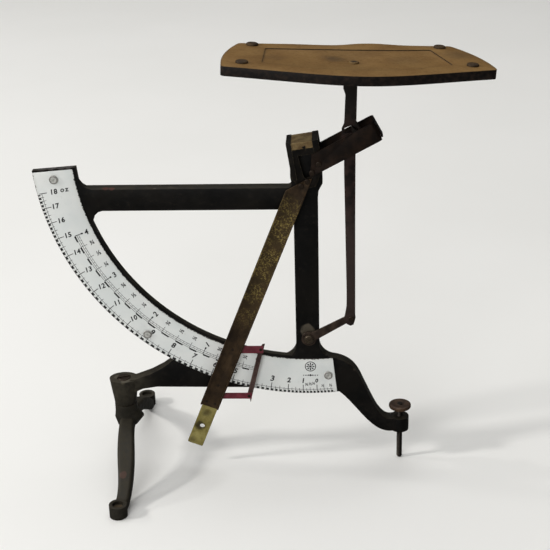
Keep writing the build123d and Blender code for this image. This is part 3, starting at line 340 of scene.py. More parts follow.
def pan_bronze(name):
    """Bronzed lacquer on sheet: tan top, skirt and underside painted near-black as painted shade,
    stains and rubbed rims.
    """
    mat = Material(name)
    up = mat.facing(PAN_UP)
    broad = mat.noise(scale=0.05, detail=4)
    mottle = mat.noise(scale=0.45, detail=6, rough=0.65)
    streaks = mat.noise(grain=((0.25, 2.2, 1.0), (0, 0, 0.16)))
    tan = mat.layer((0.168, 0.088, 0.024), (0.225, 0.128, 0.040),
                    mat.step(broad, span=(0.3, 0.7)))
    tan = mat.layer(tan, (0.080, 0.043, 0.016), mat.step(mottle, span=(0.52, 0.75), to=(0, 0.55)))
    tan = mat.layer(tan, (0.205, 0.128, 0.053),
                    mat.step(streaks, span=(0.55, 0.75), to=(0, 0.35)))
    border = mat.edge(radius=1.8, span=(0.01, 0.20), samples=6)
    tan = mat.layer(tan, (0.055, 0.034, 0.015), border, amount=0.55)
    for along, across, inner, outer, amount in PAN_STAINS:
        x, y, z = (c + along * d for c, d in zip(PAN_CENTRE, PAN_LONG))
        stain = mat.spot((x, y + across * PAN_ACROSS_Y, z), inner, outer,
                         wobble=3.5, grain=0.14, amount=amount)
        tan = mat.layer(tan, (0.055, 0.036, 0.018), stain)
    specks = mat.specks(scale=0.55, size=0.14, patch_scale=0.09, patch_span=(0.48, 0.6))
    tan = mat.layer(tan, (0.030, 0.020, 0.012), specks, amount=0.7)
    # painted shade: the skirt and underside, the faces that don't turn up, get near-black instead
    # of tan
    dark = mat.layer((0.0055, 0.0040, 0.0034), (0.0210, 0.0125, 0.0085),
                     mat.step(mottle, span=(0.4, 0.7)))
    top = mat.step(up, span=(0.55, 0.93))
    base = mat.layer(dark, tan, top)
    rim = mat.times(mat.edge(radius=0.6, span=(0.04, 0.3)),
                    mat.step(mat.noise(scale=0.9, detail=4, rough=0.7), span=(0.45, 0.62)))
    base = mat.layer(base, (0.10, 0.062, 0.034), rim, amount=0.45)
    rough = mat.spread(mottle, to=(0.46, 0.66))
    mat.bump(mottle, strength=0.18, depth=0.12)
    mat.bump(streaks, strength=0.10, depth=0.05)
    return mat.finish(colour=base, rough=rough, metal=mat.times(top, 0.12), spec=0.2)


def crimson(name):
    """Red lacquer, darkly mottled and worn at its edges."""
    mat = Material(name)
    broad = mat.noise(scale=0.3, rough=0.62)
    mottle = mat.noise(scale=1.4, rough=0.65)
    base = mat.layer((0.115, 0.010, 0.020), (0.185, 0.022, 0.036),
                     mat.step(broad, span=(0.35, 0.68)))
    base = mat.layer(base, (0.045, 0.010, 0.012),
                     mat.step(mottle, span=(0.58, 0.74), to=(0, 0.7)))
    worn = mat.times(mat.edge(radius=0.35, span=(0.03, 0.3)),
                     mat.step(mottle, span=(0.42, 0.6)))
    base = mat.layer(base, (0.10, 0.065, 0.05), worn, amount=0.7)
    mat.bump(mottle, strength=0.2, depth=0.06)
    return mat.finish(colour=base, rough=mat.spread(broad, to=(0.36, 0.55)), spec=0.45)


def plain_metal(name, colour, metal, rough, spotty):
    """Bare metal with dark spots and brighter edges."""
    mat = Material(name)
    mottle = mat.noise(scale=0.8, rough=0.62)
    fine = mat.noise(scale=3.0, detail=4)
    base = mat.layer(colour, scaled(colour, 0.25),
                     mat.step(mottle, span=(0.46, 0.7), to=(0, spotty)))
    bright = tuple(channel * 1.7 + 0.02 for channel in colour)
    base = mat.layer(base, bright, mat.edge(radius=0.3, span=(0.03, 0.3)), amount=0.35)
    mat.bump(fine, strength=0.2, depth=0.05)
    return mat.finish(colour=base, rough=mat.spread(mottle, to=rough), metal=metal)


DIAL_SCREWS = (at(-149.5, -5.2, -17.8), at(-100.3, -5.2, -120.3), at(11.7, -5.2, -149.6))


def dial_screw(name):
    """Dull nickel-plated heads with a dirt ring and a filled slot."""
    mat = Material(name)
    mottle = mat.noise(scale=1.1, rough=0.65)
    base = mat.layer((0.60, 0.60, 0.57), (0.30, 0.29, 0.25),
                     mat.step(mottle, span=(0.42, 0.7), to=(0, 0.6)))
    distance = reduce(lambda a, b: mat.math("MINIMUM", a, b),
                      (mat.vector("DISTANCE", mat.position, centre) for centre in DIAL_SCREWS))
    ring = mat.times(mat.step(distance, span=(1.75, 2.05)),
                     mat.step(distance, span=(2.35, 2.7), to=(1.0, 0.35)))
    base = mat.layer(base, (0.11, 0.10, 0.088), ring, amount=0.75)
    core = mat.step(distance, span=(0.2, 0.95), to=(0.35, 0))
    base = mat.layer(base, (0.09, 0.08, 0.065), core)
    mat.bump(mottle, strength=0.25, depth=0.05)
    return mat.finish(colour=base, rough=mat.spread(mottle, to=(0.3, 0.5)), metal=0.3)


def ink(name):
    """Fired black print, slightly rubbed."""
    mat = Material(name)
    rubbed = mat.noise(scale=1.6, rough=0.7)
    base = mat.layer((0.014, 0.014, 0.015), (0.13, 0.13, 0.125),
                     mat.step(rubbed, span=(0.56, 0.78), to=(0, 0.45)))
    mat.bump(rubbed, strength=0.15, depth=0.02)
    return mat.finish(colour=base, rough=mat.spread(rubbed, to=(0.22, 0.4)), coat=0.2)


def table_top(name):
    """Pale matt table that shows darker in reflections."""
    mat = Material(name)
    broad = mat.noise(scale=0.0035, detail=3, rough=0.5)
    fine = mat.noise(scale=0.6, detail=4, rough=0.5)
    base = mat.layer((0.868, 0.863, 0.842), (0.890, 0.884, 0.866),
                     mat.step(broad, span=(0.3, 0.7)))
    mat.bump(fine, strength=0.06, depth=0.08)
    mat.finish(colour=base, rough=0.78, spec=0.18)
    rays = mat.node("ShaderNodeLightPath").outputs
    dull = mat.node("ShaderNodeBsdfDiffuse", {"Color": (0.10, 0.10, 0.098)})
    mix = mat.node("ShaderNodeMixShader", {
        0: rays["Is Glossy Ray"], 1: mat.surface.outputs[0], 2: dull.outputs[0]})
    put(mat.tree, mat.output.inputs[0], mix.outputs[0])
    return mat.material


# ------------------------------------------------------------------ materials of the pieces
# chips in the paint, and a pale patch on the column: point, radius, colour
FRAME_CHIPS = (
    (at(-119.5, -2.2, -23.6), 2.9, (0.060, 0.022, 0.015)),
    (at(-115.6, -2.6, -23.8), 2.3, (0.070, 0.024, 0.016)),
    (at(-90.0, -2.6, -24.2), 1.5, (0.050, 0.042, 0.032)),
    (at(-81.0, -1.0, -24.2), 1.7, (0.035, 0.030, 0.022)),
    (at(-117.0, -4.5, -153.5), 3.4, (0.080, 0.070, 0.050)),
    (at(-122.0, 1.0, -153.5), 2.8, (0.066, 0.058, 0.042)),
    (at(-140.0, -2.0, -10.9), 2.9, (0.060, 0.053, 0.050)),
    (at(-145.0, -1.8, -11.2), 2.9, (0.050, 0.045, 0.043)),
    (at(-150.5, -2.0, -11.6), 3.1, (0.058, 0.052, 0.050)),
    (at(-156.0, -1.8, -12.0), 3.0, (0.048, 0.043, 0.041)),
    # a pale brown patch on the column just above the guide link's eye
    (at(-0.6, -4.0, -118.2), 4.9, (0.072, 0.060, 0.043)),
    (at(28.0, -4.0, -146.0), 1.0, (0.030, 0.024, 0.017)))
FOOT_CHIPS = (
    (at(-115.6, -67.6, -204.5), 3.6, (0.055, 0.038, 0.020)),
    (at(-115.0, -48.0, -195.5), 2.6, (0.060, 0.033, 0.024)))

# spots on browned metal, the stem's upper one a painted shadow: point, inner radius, outer radius,
# colour, amount
PENDULUM_SPOTS = (
    (at(-50.5, -10.2, -118.5), 2.0, 7.5, (0.016, 0.010, 0.006), 0.6),
    (at(-36.0, -10.2, -86.0), 1.0, 6.0, (0.020, 0.012, 0.006), 0.6))
TONGUE_SPOTS = (
    (at(HOLE_X - 1.5, -9.0, HOLE_Z + 0.4), 2.0, 4.6, (0.035, 0.026, 0.012), 0.85),
    (at(HOLE_X + 3.2, -9.0, HOLE_Z + 9.5), 0.4, 4.2, (0.06, 0.045, 0.018), 0.7),
    (at(-61.0, -9.0, -181.5), 0.6, 4.0, (0.12, 0.09, 0.032), 0.4),
    (at(-75.5, -9.0, -193.5), 0.3, 4.0, (0.09, 0.07, 0.03), 0.55))
# the stem: brown-red below the load arm, and a painted shadow of the pan darkening its upper end
STEM_SPOTS_AND_PAN_SHADOW = (
    (at(25.5, -8.6, -75.0), 12.0, 58.0, (0.046, 0.031, 0.027), 0.75),
    (at(25.5, -8.6, 34.0), 6.0, 24.0, (0.009, 0.008, 0.006), 0.8))
PAN_RIVET_SPOTS = ((at(27.6, -8.4, 52.1), 1.0, 2.2, (0.016, 0.010, 0.006), 0.92),)

# scratches along a piece: noise scale per axis, rotation
PENDULUM_GRAIN = ((2.2, 2.2, 0.10), (0, -PENDULUM_TILT, 0))
ARM_GRAIN = ((0.10, 2.0, 2.2), (0, ARM_TILT, 0))
STEM_GRAIN = ((2.0, 2.0, 0.12), (0, 0, 0))

MATERIALS = {
    "cast": stove_paint("stove_paint_frame", chips=FRAME_CHIPS,
                        olive=dict(point=at(-119.0, -2.0, -156.0), inner=9.0, outer=24.0)),
    "foot": stove_paint("stove_paint_foot", dust_and_top_light_amount=0.9, lift=0.75, chips=FOOT_CHIPS),
    "enamel": enamel("dial_enamel"),
    "ink": ink("fired_black_print"),
    "nickel": dial_screw("dull_nickel"),
    # bearing block and knife edges: dark steel, made darker still as painted shade inside the
    # lever's channel
    "hard": plain_metal("dark_steel_painted_shade", colour=(0.030, 0.026, 0.022), metal=0.8,
                        rough=(0.28, 0.45), spotty=0.5),
    # dark lacquer; its pale edges are partly wear and partly painted edge highlight
    "saddle": browned("saddle_lacquer", dark=(0.0034, 0.0028, 0.0022),
                      light=(0.0100, 0.0072, 0.0045), edge_colour=(0.125, 0.100, 0.062),
                      metal=0.15, rough=(0.34, 0.55), edge_wear_and_light=0.8, spec=0.2),
    "strap": browned("saddle_strap_brass", dark=(0.125, 0.074, 0.028),
                     light=(0.275, 0.200, 0.085), edge_colour=(0.30, 0.24, 0.12),
                     metal=0.3, rough=(0.38, 0.55)),
    "arm": browned("load_arm_brass", dark=(0.0085, 0.0048, 0.0030),
                   light=(0.0225, 0.0115, 0.0062), edge_colour=(0.038, 0.022, 0.012),
                   metal=0.30, edge_wear_and_light=0.5, spec=0.25, grain=ARM_GRAIN),
    "pendulum": browned("pendulum_brass", dark=(0.0290, 0.0170, 0.0085),
                        light=(0.0560, 0.0330, 0.0150), edge_colour=(0.085, 0.050, 0.020),
                        metal=0.38, spec=0.3, gold=(0.320, 0.235, 0.066),
                        grain=PENDULUM_GRAIN, spots_and_shade=PENDULUM_SPOTS),
    "tongue": browned("tongue_brass", dark=(0.235, 0.190, 0.050), light=(0.400, 0.345, 0.118),
                      edge_colour=(0.36, 0.32, 0.17), metal=0.4, rough=(0.38, 0.56), edge_wear_and_light=0.5,
                      grain=PENDULUM_GRAIN, spots_and_shade=TONGUE_SPOTS),
    "crimson": crimson("index_red_lacquer"),
    "blade": browned("index_blade_brown", dark=(0.060, 0.030, 0.026),
                     light=(0.105, 0.062, 0.052), edge_colour=(0.22, 0.16, 0.12),
                     metal=0.3, rough=(0.4, 0.55)),
    "stem": browned("stem_brown", dark=(0.0085, 0.0055, 0.0042), light=(0.0370, 0.0200, 0.0155),
                    edge_colour=(0.065, 0.040, 0.028), metal=0.25, spec=0.25,
                    grain=STEM_GRAIN, spots_and_shade=STEM_SPOTS_AND_PAN_SHADOW),
    "link": browned("guide_link_brown", dark=(0.022, 0.013, 0.0085), light=(0.060, 0.039, 0.026),
                    edge_colour=(0.15, 0.10, 0.06), metal=0.4, edge_wear_and_light=0.7),
    "rivet": plain_metal("browned_rivets", colour=(0.032, 0.020, 0.012), metal=0.6,
                         rough=(0.32, 0.48), spotty=0.6),
    "guide_screw": plain_metal("guide_screw_steel", colour=(0.115, 0.088, 0.060), metal=0.8,
                               rough=(0.28, 0.45), spotty=0.85),
    "pan": pan_bronze("pan_bronze"),
    "button": browned("pan_button_brown", dark=(0.024, 0.0135, 0.0060),
                      light=(0.062, 0.036, 0.015), edge_colour=(0.085, 0.055, 0.028),
                      metal=0.0, rough=(0.55, 0.72), edge_wear_and_light=0.4, spec=0.18),
    "pan_rivet": browned("pan_rivet_brown", dark=(0.105, 0.060, 0.020),
                         light=(0.150, 0.090, 0.032), edge_colour=(0.19, 0.12, 0.05),
                         metal=0.0, rough=(0.5, 0.66), edge_wear_and_light=0.3, spec=0.18,
                         spots_and_shade=PAN_RIVET_SPOTS),
    "knob": browned("knob_rusty_brass", dark=(0.026, 0.013, 0.0075), light=(0.075, 0.041, 0.022),
                    edge_colour=(0.20, 0.12, 0.065), metal=0.35, rough=(0.36, 0.55), edge_wear_and_light=0.7),
    "screw": plain_metal("levelling_screw_steel", colour=(0.020, 0.015, 0.011), metal=0.7,
                         rough=(0.34, 0.5), spotty=0.6),
}

# piece: material, width of its rounded edges (0 leaves them sharp)
FINISH = {
    "frame_casting": ("cast", 0.45), "swing_foot": ("foot", 0.8),
    "dial_plate": ("enamel", 0.12), "dial_screws": ("nickel", 0.1),
    "bearing_block": ("hard", 0.12), "lever_saddle": ("saddle", 0.35),
    "main_knife_edge": ("hard", 0.05), "saddle_strap": ("strap", 0.12),
    "load_stirrup": ("arm", 0.16), "load_knife_edge": ("hard", 0.05),
    "lever_rivets": ("rivet", 0.0), "pendulum_strip": ("pendulum", 0.16),
    "pendulum_tongue": ("tongue", 0.16), "tongue_rivets": ("rivet", 0.08),
    "index_bracket": ("crimson", 0.12), "index_blade": ("blade", 0.08),
    "index_rivets": ("rivet", 0.06), "stem": ("stem", 0.25),
    "link_pin": ("rivet", 0.0), "guide_link": ("link", 0.14),
    "guide_washer": ("rivet", 0.1), "guide_pivot_screw": ("guide_screw", 0.0),
    "pan": ("pan", 0.32), "pan_buttons": ("button", 0.0),
    "pan_bracket": ("saddle", 0.25), "pan_rivet": ("pan_rivet", 0.0),
    "foot_washer": ("rivet", 0.1), "foot_pivot_screw": ("rivet", 0.1),
    "foot_nut": ("rivet", 0.15), "levelling_screw": ("screw", 0.0),
    "levelling_knob": ("knob", 0.0),
}


def smooth_group(limit_degrees=30.0):
    """Node group that smooths faces and keeps edges above the limit sharp."""
    tree = bpy.data.node_groups.new("smooth_by_angle", "GeometryNodeTree")
    for direction in ("INPUT", "OUTPUT"):
        tree.interface.new_socket("Geometry", in_out=direction,
                                  socket_type="NodeSocketGeometry")
    source = add_node(tree, "NodeGroupInput")
    angle = add_node(tree, "GeometryNodeInputMeshEdgeAngle")
    shallow = add_node(tree, "FunctionNodeCompare",
                       data_type="FLOAT", operation="LESS_EQUAL")
    put(tree, shallow.inputs[0], angle.outputs["Unsigned Angle"])
    put(tree, shallow.inputs[1], math.radians(limit_degrees))
    faces = add_node(tree, "GeometryNodeSetShadeSmooth", {
        "Geometry": source.outputs[0], "Shade Smooth": True}, domain="FACE")
    edges = add_node(tree, "GeometryNodeSetShadeSmooth", {
        "Geometry": faces.outputs[0], "Shade Smooth": shallow.outputs[0]}, domain="EDGE")
    add_node(tree, "NodeGroupOutput", {0: edges.outputs[0]})
    return tree


SMOOTH = smooth_group()


def shade_by_angle(piece):
    piece.modifiers.new("shade", "NODES").node_group = SMOOTH


def soften(piece, width):
    """Joins split corners, rounds sharp edges and shades by angle, all as modifiers."""
    attributes = piece.data.attributes
    if "custom_normal" in attributes:
        attributes.remove(attributes["custom_normal"])
    join = piece.modifiers.new("join", "WELD")
    join.merge_threshold = 1e-6
    if width > 0:
        bevel = piece.modifiers.new("round", "BEVEL")
        bevel.width = width / 1000
        bevel.segments = 3
        bevel.limit_method = "ANGLE"
        bevel.angle_limit = math.radians(34)
        bevel.use_clamp_overlap = True
        bevel.miter_outer = "MITER_ARC"
    shade_by_angle(piece)


for name, (key, width) in FINISH.items():
    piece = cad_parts[name]
    piece.data.materials.clear()
    piece.data.materials.append(MATERIALS[key])
    soften(piece, width)


# ------------------------------------------------------------------ mesh helpers
def add_object(name, data):
    thing = bpy.data.objects.new(name, data)
    scene.collection.objects.link(thing)
    return thing


def to_object(name, mesh, material):
    data = bpy.data.meshes.new(name)
    mesh.to_mesh(data)
    mesh.free()
    data.materials.append(material)
    return add_object(name, data)


def mesh_object(name, mesh, material, body):
    bmesh.ops.recalc_face_normals(mesh, faces=mesh.faces[:])
    thing = to_object(name, mesh, material)
    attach(thing, body)
    return thing


def bridge(mesh, ring, following):
    """Quads between two closed rings of vertices."""
    for i in range(len(ring)):
        j = (i + 1) % len(ring)
        mesh.faces.new((ring[i], ring[j], following[j], following[i]))


def polar(radius, degrees):
    angle = math.radians(degrees)
    return radius * math.cos(angle), radius * math.sin(angle)


def lerp(a, b, share):
    return a + (b - a) * share


# ------------------------------------------------------------------ dial print
# The print stands a hair proud of the enamel. Angles are degrees about the main pivot,
# from +X towards +Z, and radii are measured from it.
PRINT_BACK, PRINT_FRONT = DIAL_Y + 0.02, DIAL_Y - 0.035
ARC_STEP = 1.2                      # largest angle of one facet

# outer scale: value: (angle, turn of the numeral, height of its type)
OUTER = {
    18: (189.6, 9.5, 4.35), 17: (193.0, 13, 4.35), 16: (196.5, 15, 4.35),
    15: (200.3, 17, 4.35), 14: (204.75, 18, 4.35), 13: (209.65, 19, 4.35),
    12: (214.65, 21, 4.35), 11: (219.95, 23, 4.35), 10: (225.3, 26, 4.35),
    9: (230.9, -22, 4.9), 8: (236.65, -26, 4.9), 7: (242.2, -26, 4.7),
    6: (247.4, -21, 4.9), 5: (252.4, -17, 4.9), 4: (256.95, -12, 4.9),
    3: (261.25, -8, 5.3), 2: (265.1, -4, 4.7), 1: (268.5, 0, 4.6), 0: (271.65, 2, 3.7)}
OUTER_START = -1.15                 # the scale runs on below zero
BELOW_ZERO_STEP = 3.15              # degrees for each unit below zero
OUTER_LINE = (159.62, 159.86)       # inner and outer radius
OUTER_BLOCKS = (160.75, 162.25)
# fractions by the outer scale: value, label, radius, turn
OUTER_FRACTIONS = ((0.75, "¾", 156.2, 0), (0.5, "½", 155.8, 0), (0.25, "¼", 155.4, 0),
                   (-0.42, "¼", 157.2, 2), (-0.98, "½", 157.2, 2))
# ticks: inner radius, outer radius, width
OUTER_WHOLE, OUTER_HALF, OUTER_QUARTER = (
    (156.5, 161.0, 0.42), (158.3, 160.8, 0.26), (158.9, 160.8, 0.22))

# inner scale: value: angle
INNER = {
    4: 201.1, 3.75: 204.1, 3.5: 207.2, 3.25: 210.6, 3: 214.0, 2.75: 217.5, 2.5: 221.1,
    2.25: 224.7, 2: 228.4, 1.75: 232.35, 1.5: 236.3, 1.25: 240.05, 1: 243.65, 0.75: 247.0,
    0.5: 250.4, 0.25: 253.65, 0: 256.85}
INNER_LINES = ((149.75, 149.97), (148.7, 148.92))
INNER_BARS = (149.8, 150.75)
INNER_BASE_LINE = (147.5, 147.7)
INNER_NUMERAL_RADIUS = 142.4
INNER_WHOLE, INNER_WHOLE_FOOT, INNER_QUARTER, INNER_FINE = (
    (144.9, 149.9, 0.42), (144.8, 146.0, 0.95), (145.7, 149.9, 0.26), (147.6, 148.8, 0.18))
FRACTIONS = {0.75: "¾", 0.5: "½", 0.25: "¼"}


def outer_angle(value):
    if value < 0:
        return OUTER[0][0] - value * BELOW_ZERO_STEP
    if value >= 18:
        return OUTER[18][0]
    lower = math.floor(value)
    return lerp(OUTER[lower][0], OUTER[lower + 1][0], value - lower)


def prism(mesh, outline):
    """A closed prism of print over an outline of (x, z) from the pivot."""
    back = [mesh.verts.new(metres(x, PRINT_BACK, z)) for x, z in outline]
    front = [mesh.verts.new(metres(x, PRINT_FRONT, z)) for x, z in outline]
    mesh.faces.new(back)
    mesh.faces.new(front[::-1])
    for i in range(len(outline)):
        j = (i + 1) % len(outline)
        mesh.faces.new((back[i], front[i], front[j], back[j]))


def tick(mesh, angle, mark):
    inner, outer, width = mark
    x, z = polar(1, angle)
    side_x, side_z = -z * width / 2, x * width / 2
    prism(mesh, [(x * inner + side_x, z * inner + side_z), (x * outer + side_x, z * outer + side_z),
                 (x * outer - side_x, z * outer - side_z),
                 (x * inner - side_x, z * inner - side_z)])


def band(mesh, radii, start, end):
    inner, outer = radii
    count = max(1, math.ceil(abs(end - start) / ARC_STEP))
    angles = [start + (end - start) * i / count for i in range(count + 1)]
    prism(mesh, [polar(outer, a) for a in angles] + [polar(inner, a) for a in reversed(angles)])


def label(mesh, words, centre, size, turn, bold=0.026, spacing=1.02):
    """Raised type centred on (x, z) from the pivot; size is the height of the type."""
    curve = bpy.data.curves.new("type", "FONT")
    curve.body = words
    curve.size = 1.0
    curve.shear = 0.14
    curve.offset = bold
    curve.space_character = spacing
    curve.align_x = "CENTER"
    curve.align_y = "CENTER"
    curve.resolution_u = 3
    curve.extrude = 0.5
    thing = add_object("type", curve)
    bpy.context.view_layer.update()
    graph = bpy.context.evaluated_depsgraph_get()
    data = bpy.data.meshes.new_from_object(thing.evaluated_get(graph))
    bpy.data.objects.remove(thing)
    bpy.data.curves.remove(curve)
    xs = [v.co.x for v in data.vertices]
    ys = [v.co.y for v in data.vertices]
    middle_x, middle_y = (min(xs) + max(xs)) / 2, (min(ys) + max(ys)) / 2
    cos, sin = polar(1, turn)
    for vertex in data.vertices:
        x, z = (vertex.co.x - middle_x) * size, (vertex.co.y - middle_y) * size
        y = PRINT_FRONT if vertex.co.z > 0 else PRINT_BACK
        vertex.co = metres(centre[0] + x * cos - z * sin, y, centre[1] + x * sin + z * cos)
    mesh.from_mesh(data)
    bpy.data.meshes.remove(data)


def outer_scale(mesh):
    """A fine line, dark blocks on the rim, ticks, numerals and fractions."""
    band(mesh, OUTER_LINE, outer_angle(18), outer_angle(OUTER_START))
    for i in range(math.ceil((18 - OUTER_START) * 4)):
        value = OUTER_START + i / 4
        start, end = outer_angle(value), outer_angle(min(18.0, value + 0.25))
        band(mesh, OUTER_BLOCKS, lerp(start, end, 0.04), lerp(start, end, 0.62))
    for quarter in range(-4, 73):
        if quarter % 4 == 0 and quarter >= 0:
            mark = OUTER_WHOLE
        else:
            mark = OUTER_QUARTER if quarter % 2 else OUTER_HALF
        tick(mesh, outer_angle(quarter / 4), mark)
    for value, (angle, turn, size) in OUTER.items():
        x, z = polar(152.1 if value == 18 else 153.5, angle)
        label(mesh, str(value), (x, z), size, turn, bold=0.032,
              spacing=1.1 if value > 9 else 1.0)
        if value == 18:
            step_x, step_z = polar(6.5, turn)
            label(mesh, "oz", (x + step_x, z + step_z - 0.1), size=4.4, turn=8.0, spacing=1.3)
    for value, words, radius, turn in OUTER_FRACTIONS:
        label(mesh, words, polar(radius, outer_angle(value)), size=2.7, turn=turn, bold=0.025)


def inner_scale(mesh):
    """Two fine lines with dark bars, a base line, ticks and numerals."""
    for radii in INNER_LINES:
        band(mesh, radii, INNER[4], INNER[0])
    for quarter in range(16):
        start, end = INNER[quarter / 4], INNER[(quarter + 1) / 4]
        band(mesh, INNER_BARS, lerp(start, end, 0.46), lerp(start, end, 0.97))
        band(mesh, INNER_BASE_LINE, start, end)
        for j in range(1, 4):
            tick(mesh, lerp(start, end, j / 4), INNER_FINE)
    for value, angle in INNER.items():
        centre = polar(INNER_NUMERAL_RADIUS, angle)
        if value % 1 == 0:
            tick(mesh, angle, INNER_WHOLE)
            tick(mesh, angle, INNER_WHOLE_FOOT)
            lean = {0: 0.2, 1: 0.6}.get(value, 0.95)
            label(mesh, str(value), centre, size=4.7, turn=(angle - 180) * lean)
        else:
            tick(mesh, angle, INNER_QUARTER)
            label(mesh, FRACTIONS[value % 1], centre, size=3.7, turn=(angle - 180) * 0.95,
                  bold=0.030)


def rosette(mesh, x=0.6, z=-143.4, diamonds_z=-149.6):
    """A ring, a dot and eight petals, above a row of seven diamonds."""
    def around(radius, degrees):
        step_x, step_z = polar(radius, degrees)
        return x + step_x, z + step_z

    inner, outer, facet = 3.0, 3.5, 360 / 40
    for i in range(40):
        start, end = i * facet, (i + 1) * facet
        prism(mesh, [around(inner, start), around(outer, start),
                     around(outer, end), around(inner, end)])
    prism(mesh, [around(0.75, 360 * i / 16) for i in range(16)])
    for i in range(8):
        cos, sin = polar(1, 360 * i / 8)
        petal = []
        for j in range(12):
            oval_x, oval_z = polar(1, 360 * j / 12)
            out, across = 1.85 + 0.82 * oval_x, 0.44 * oval_z
            petal.append((x + out * cos - across * sin, z + out * sin + across * cos))
        prism(mesh, petal)
    for i in range(-3, 4):
        size = 0.80 if i == 0 else 0.62 - abs(i) * 0.07
        middle = x + i * 1.45
        prism(mesh, [(middle - size * 1.2, diamonds_z), (middle, diamonds_z + size),
                     (middle + size * 1.2, diamonds_z), (middle, diamonds_z - size)])


dial_print = bmesh.new()
outer_scale(dial_print)
inner_scale(dial_print)
rosette(dial_print)
mesh_object("dial_print", dial_print, MATERIALS["ink"], "frame")

# ------------------------------------------------------------------ levelling knob and screw
LEVELLER_X = 57.0                   # axis of both, from the pivot
KNOB_Z = -175.2                     # underside of the knob's disc
KNOB_SIDES = 96
# closed knob profile (radius, z): hub, disc with rolled rims, dished top, bore
KNOB_PROFILE = (
    (3.2, -1.6), (3.2, -0.15), (6.1, 0.0), (6.7, 0.3), (6.98, 0.7), (6.98, 1.9), (6.7, 2.3),
    (6.0, 2.6), (4.8, 2.5), (3.2, 2.3), (2.4, 2.3), (1.84, 2.35), (1.84, -1.6))
MILLED_FROM, MILLING_DEPTH = 6.9, 0.22

ROD_BOTTOM, ROD_TOP = -PIVOT_Z, -172.2
ROD_RADIUS, THREAD_PITCH, THREAD_DEPTH = 1.8, 0.7, 0.28
ROD_SIDES, ROWS_PER_TURN = 24, 8


def leveller_ring(mesh, radii, z):
    """A ring of vertices about the leveller axis, one for each radius."""
    ring = []
    for i, radius in enumerate(radii):
        x, y = polar(radius, 360 * i / len(radii))
        ring.append(mesh.verts.new(metres(LEVELLER_X + x, y, z)))
    return ring


def milled_knob():
    mesh = bmesh.new()
    rings = []
    for radius, z in KNOB_PROFILE:
        depth = MILLING_DEPTH if radius > MILLED_FROM else 0.0
        radii = [radius - (0.0 if i % 2 else depth) for i in range(KNOB_SIDES)]
        rings.append(leveller_ring(mesh, radii, KNOB_Z + z))
    for i, ring in enumerate(rings):
        bridge(mesh, ring, rings[(i + 1) % len(rings)])
    knob = mesh_object("levelling_knob_milled", mesh, MATERIALS["knob"], "leveller")
    shade_by_angle(knob)
    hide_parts("levelling_knob")


def threaded_rod():
    """A rod with a helical thread and tapered ends."""
    mesh = bmesh.new()
    length = ROD_TOP - ROD_BOTTOM
    rows = int(length / THREAD_PITCH * ROWS_PER_TURN)
    rings = []
    for k in range(rows + 1):
        height = length * k / rows
        taper = min(ROD_RADIUS - 0.7 * (0.9 - height),
                    ROD_RADIUS - 0.35 * (0.6 - (length - height)))
        radii = []
        for i in range(ROD_SIDES):
            phase = (height / THREAD_PITCH - i / ROD_SIDES) % 1.0
            radii.append(min(taper, ROD_RADIUS - THREAD_DEPTH * abs(phase - 0.5) * 2))
        rings.append(leveller_ring(mesh, radii, ROD_BOTTOM + height))
    for ring, following in zip(rings, rings[1:]):
        bridge(mesh, ring, following)
    mesh.faces.new(rings[0][::-1])
    mesh.faces.new(rings[-1])
    rod = mesh_object("levelling_screw_threaded", mesh, MATERIALS["screw"], "leveller")
    shade_by_angle(rod)
    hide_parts("levelling_screw")


milled_knob()
threaded_rod()


# ------------------------------------------------------------------ floor, light, camera (metres)
def add_floor():
    mesh = bmesh.new()
    bmesh.ops.create_grid(mesh, x_segments=8, y_segments=8, size=20.0)
    floor = to_object("floor", mesh, table_top("pale_table"))
    floor.location = (0, 0, -0.0002)


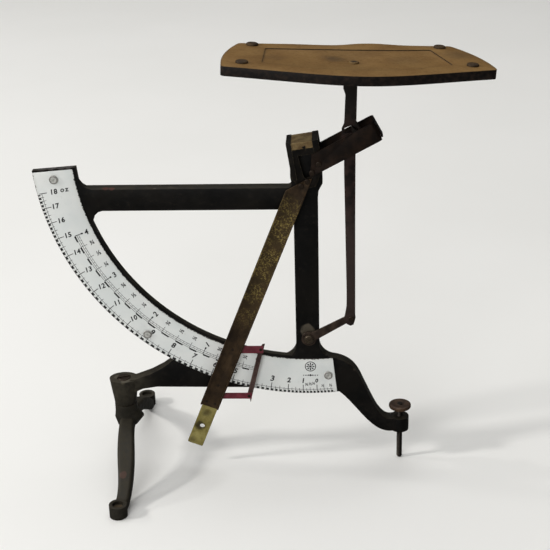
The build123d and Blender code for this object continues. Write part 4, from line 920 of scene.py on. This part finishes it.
def add_world():
    """A plain backdrop for the camera; light that grows from dark below to pale above."""
    world = bpy.data.worlds.new("studio")
    scene.world = world
    world.use_nodes = True
    tree = world.node_tree
    tree.nodes.clear()
    place = add_node(tree, "ShaderNodeTexCoord").outputs["Generated"]
    height = add_node(tree, "ShaderNodeSeparateXYZ", {0: place}).outputs["Z"]
    ramp = add_node(tree, "ShaderNodeValToRGB", {0: height})
    low, high = ramp.color_ramp.elements
    low.position = 0.35
    low.color = (0.03, 0.03, 0.03, 1)
    high.position = 0.95
    high.color = (0.95, 0.95, 0.94, 1)
    ambient = add_node(tree, "ShaderNodeBackground", {"Color": ramp.outputs[0], "Strength": 0.50})
    backdrop = add_node(tree, "ShaderNodeBackground", {"Color": (0.66, 0.665, 0.64)})
    rays = add_node(tree, "ShaderNodeLightPath").outputs
    mix = add_node(tree, "ShaderNodeMixShader", {
        0: rays["Is Camera Ray"], 1: ambient.outputs[0], 2: backdrop.outputs[0]})
    add_node(tree, "ShaderNodeOutputWorld", {0: mix.outputs[0]})


def area(name, location, target, size, power, colour):
    light = bpy.data.lights.new(name, "AREA")
    light.energy = power
    light.color = colour
    light.size = size
    lamp = add_object(name, light)
    lamp.location = location
    lamp.rotation_mode = "QUATERNION"
    lamp.rotation_quaternion = (Vector(location) - Vector(target)).to_track_quat("Z", "Y")


add_floor()
add_world()
area("key_left", location=(-2.6, -0.66, 1.66), target=(0, 0, 0.08), size=0.30, power=38.0,
     colour=(1.0, 0.985, 0.955))
area("side_left", location=(-2.7, 0.40, 1.38), target=(0, 0, 0.08), size=0.16, power=11.0,
     colour=(1.0, 0.985, 0.955))
area("top_soft", location=(-0.25, 0.45, 2.1), target=(0, 0.1, 0.05), size=2.4, power=22.0,
     colour=(1.0, 1.0, 0.985))
area("front_fill", location=(-0.9, -2.3, 1.1), target=(0, 0, 0.12), size=1.3, power=26.0,
     colour=(1.0, 1.0, 1.0))

CAMERA_HEADING, CAMERA_DOWN, CAMERA_ROLL = 3.02, 24.31, -1.57       # degrees
# the pivot at the dial's front, in camera axes (right, up, backwards), millimetres
PIVOT_IN_VIEW = Vector((17.98, 73.428, -754.0))


def add_camera():
    data = bpy.data.cameras.new("camera")
    data.sensor_width = 36.0
    data.lens = 85.0909
    data.clip_start = 0.05
    data.clip_end = 20
    camera = add_object("camera", data)
    turn = (Matrix.Rotation(math.radians(CAMERA_HEADING), 3, "Z")
            @ Matrix.Rotation(math.radians(90 - CAMERA_DOWN), 3, "X")
            @ Matrix.Rotation(math.radians(CAMERA_ROLL), 3, "Z"))
    place = Vector(at(0, DIAL_Y, 0)) - turn @ PIVOT_IN_VIEW
    camera.matrix_world = Matrix.Translation(place / 1000) @ turn.to_4x4()
    scene.camera = camera


add_camera()
scene.view_settings.view_transform = "Standard"
scene.view_settings.look = "None"

bpy.context.view_layer.update()
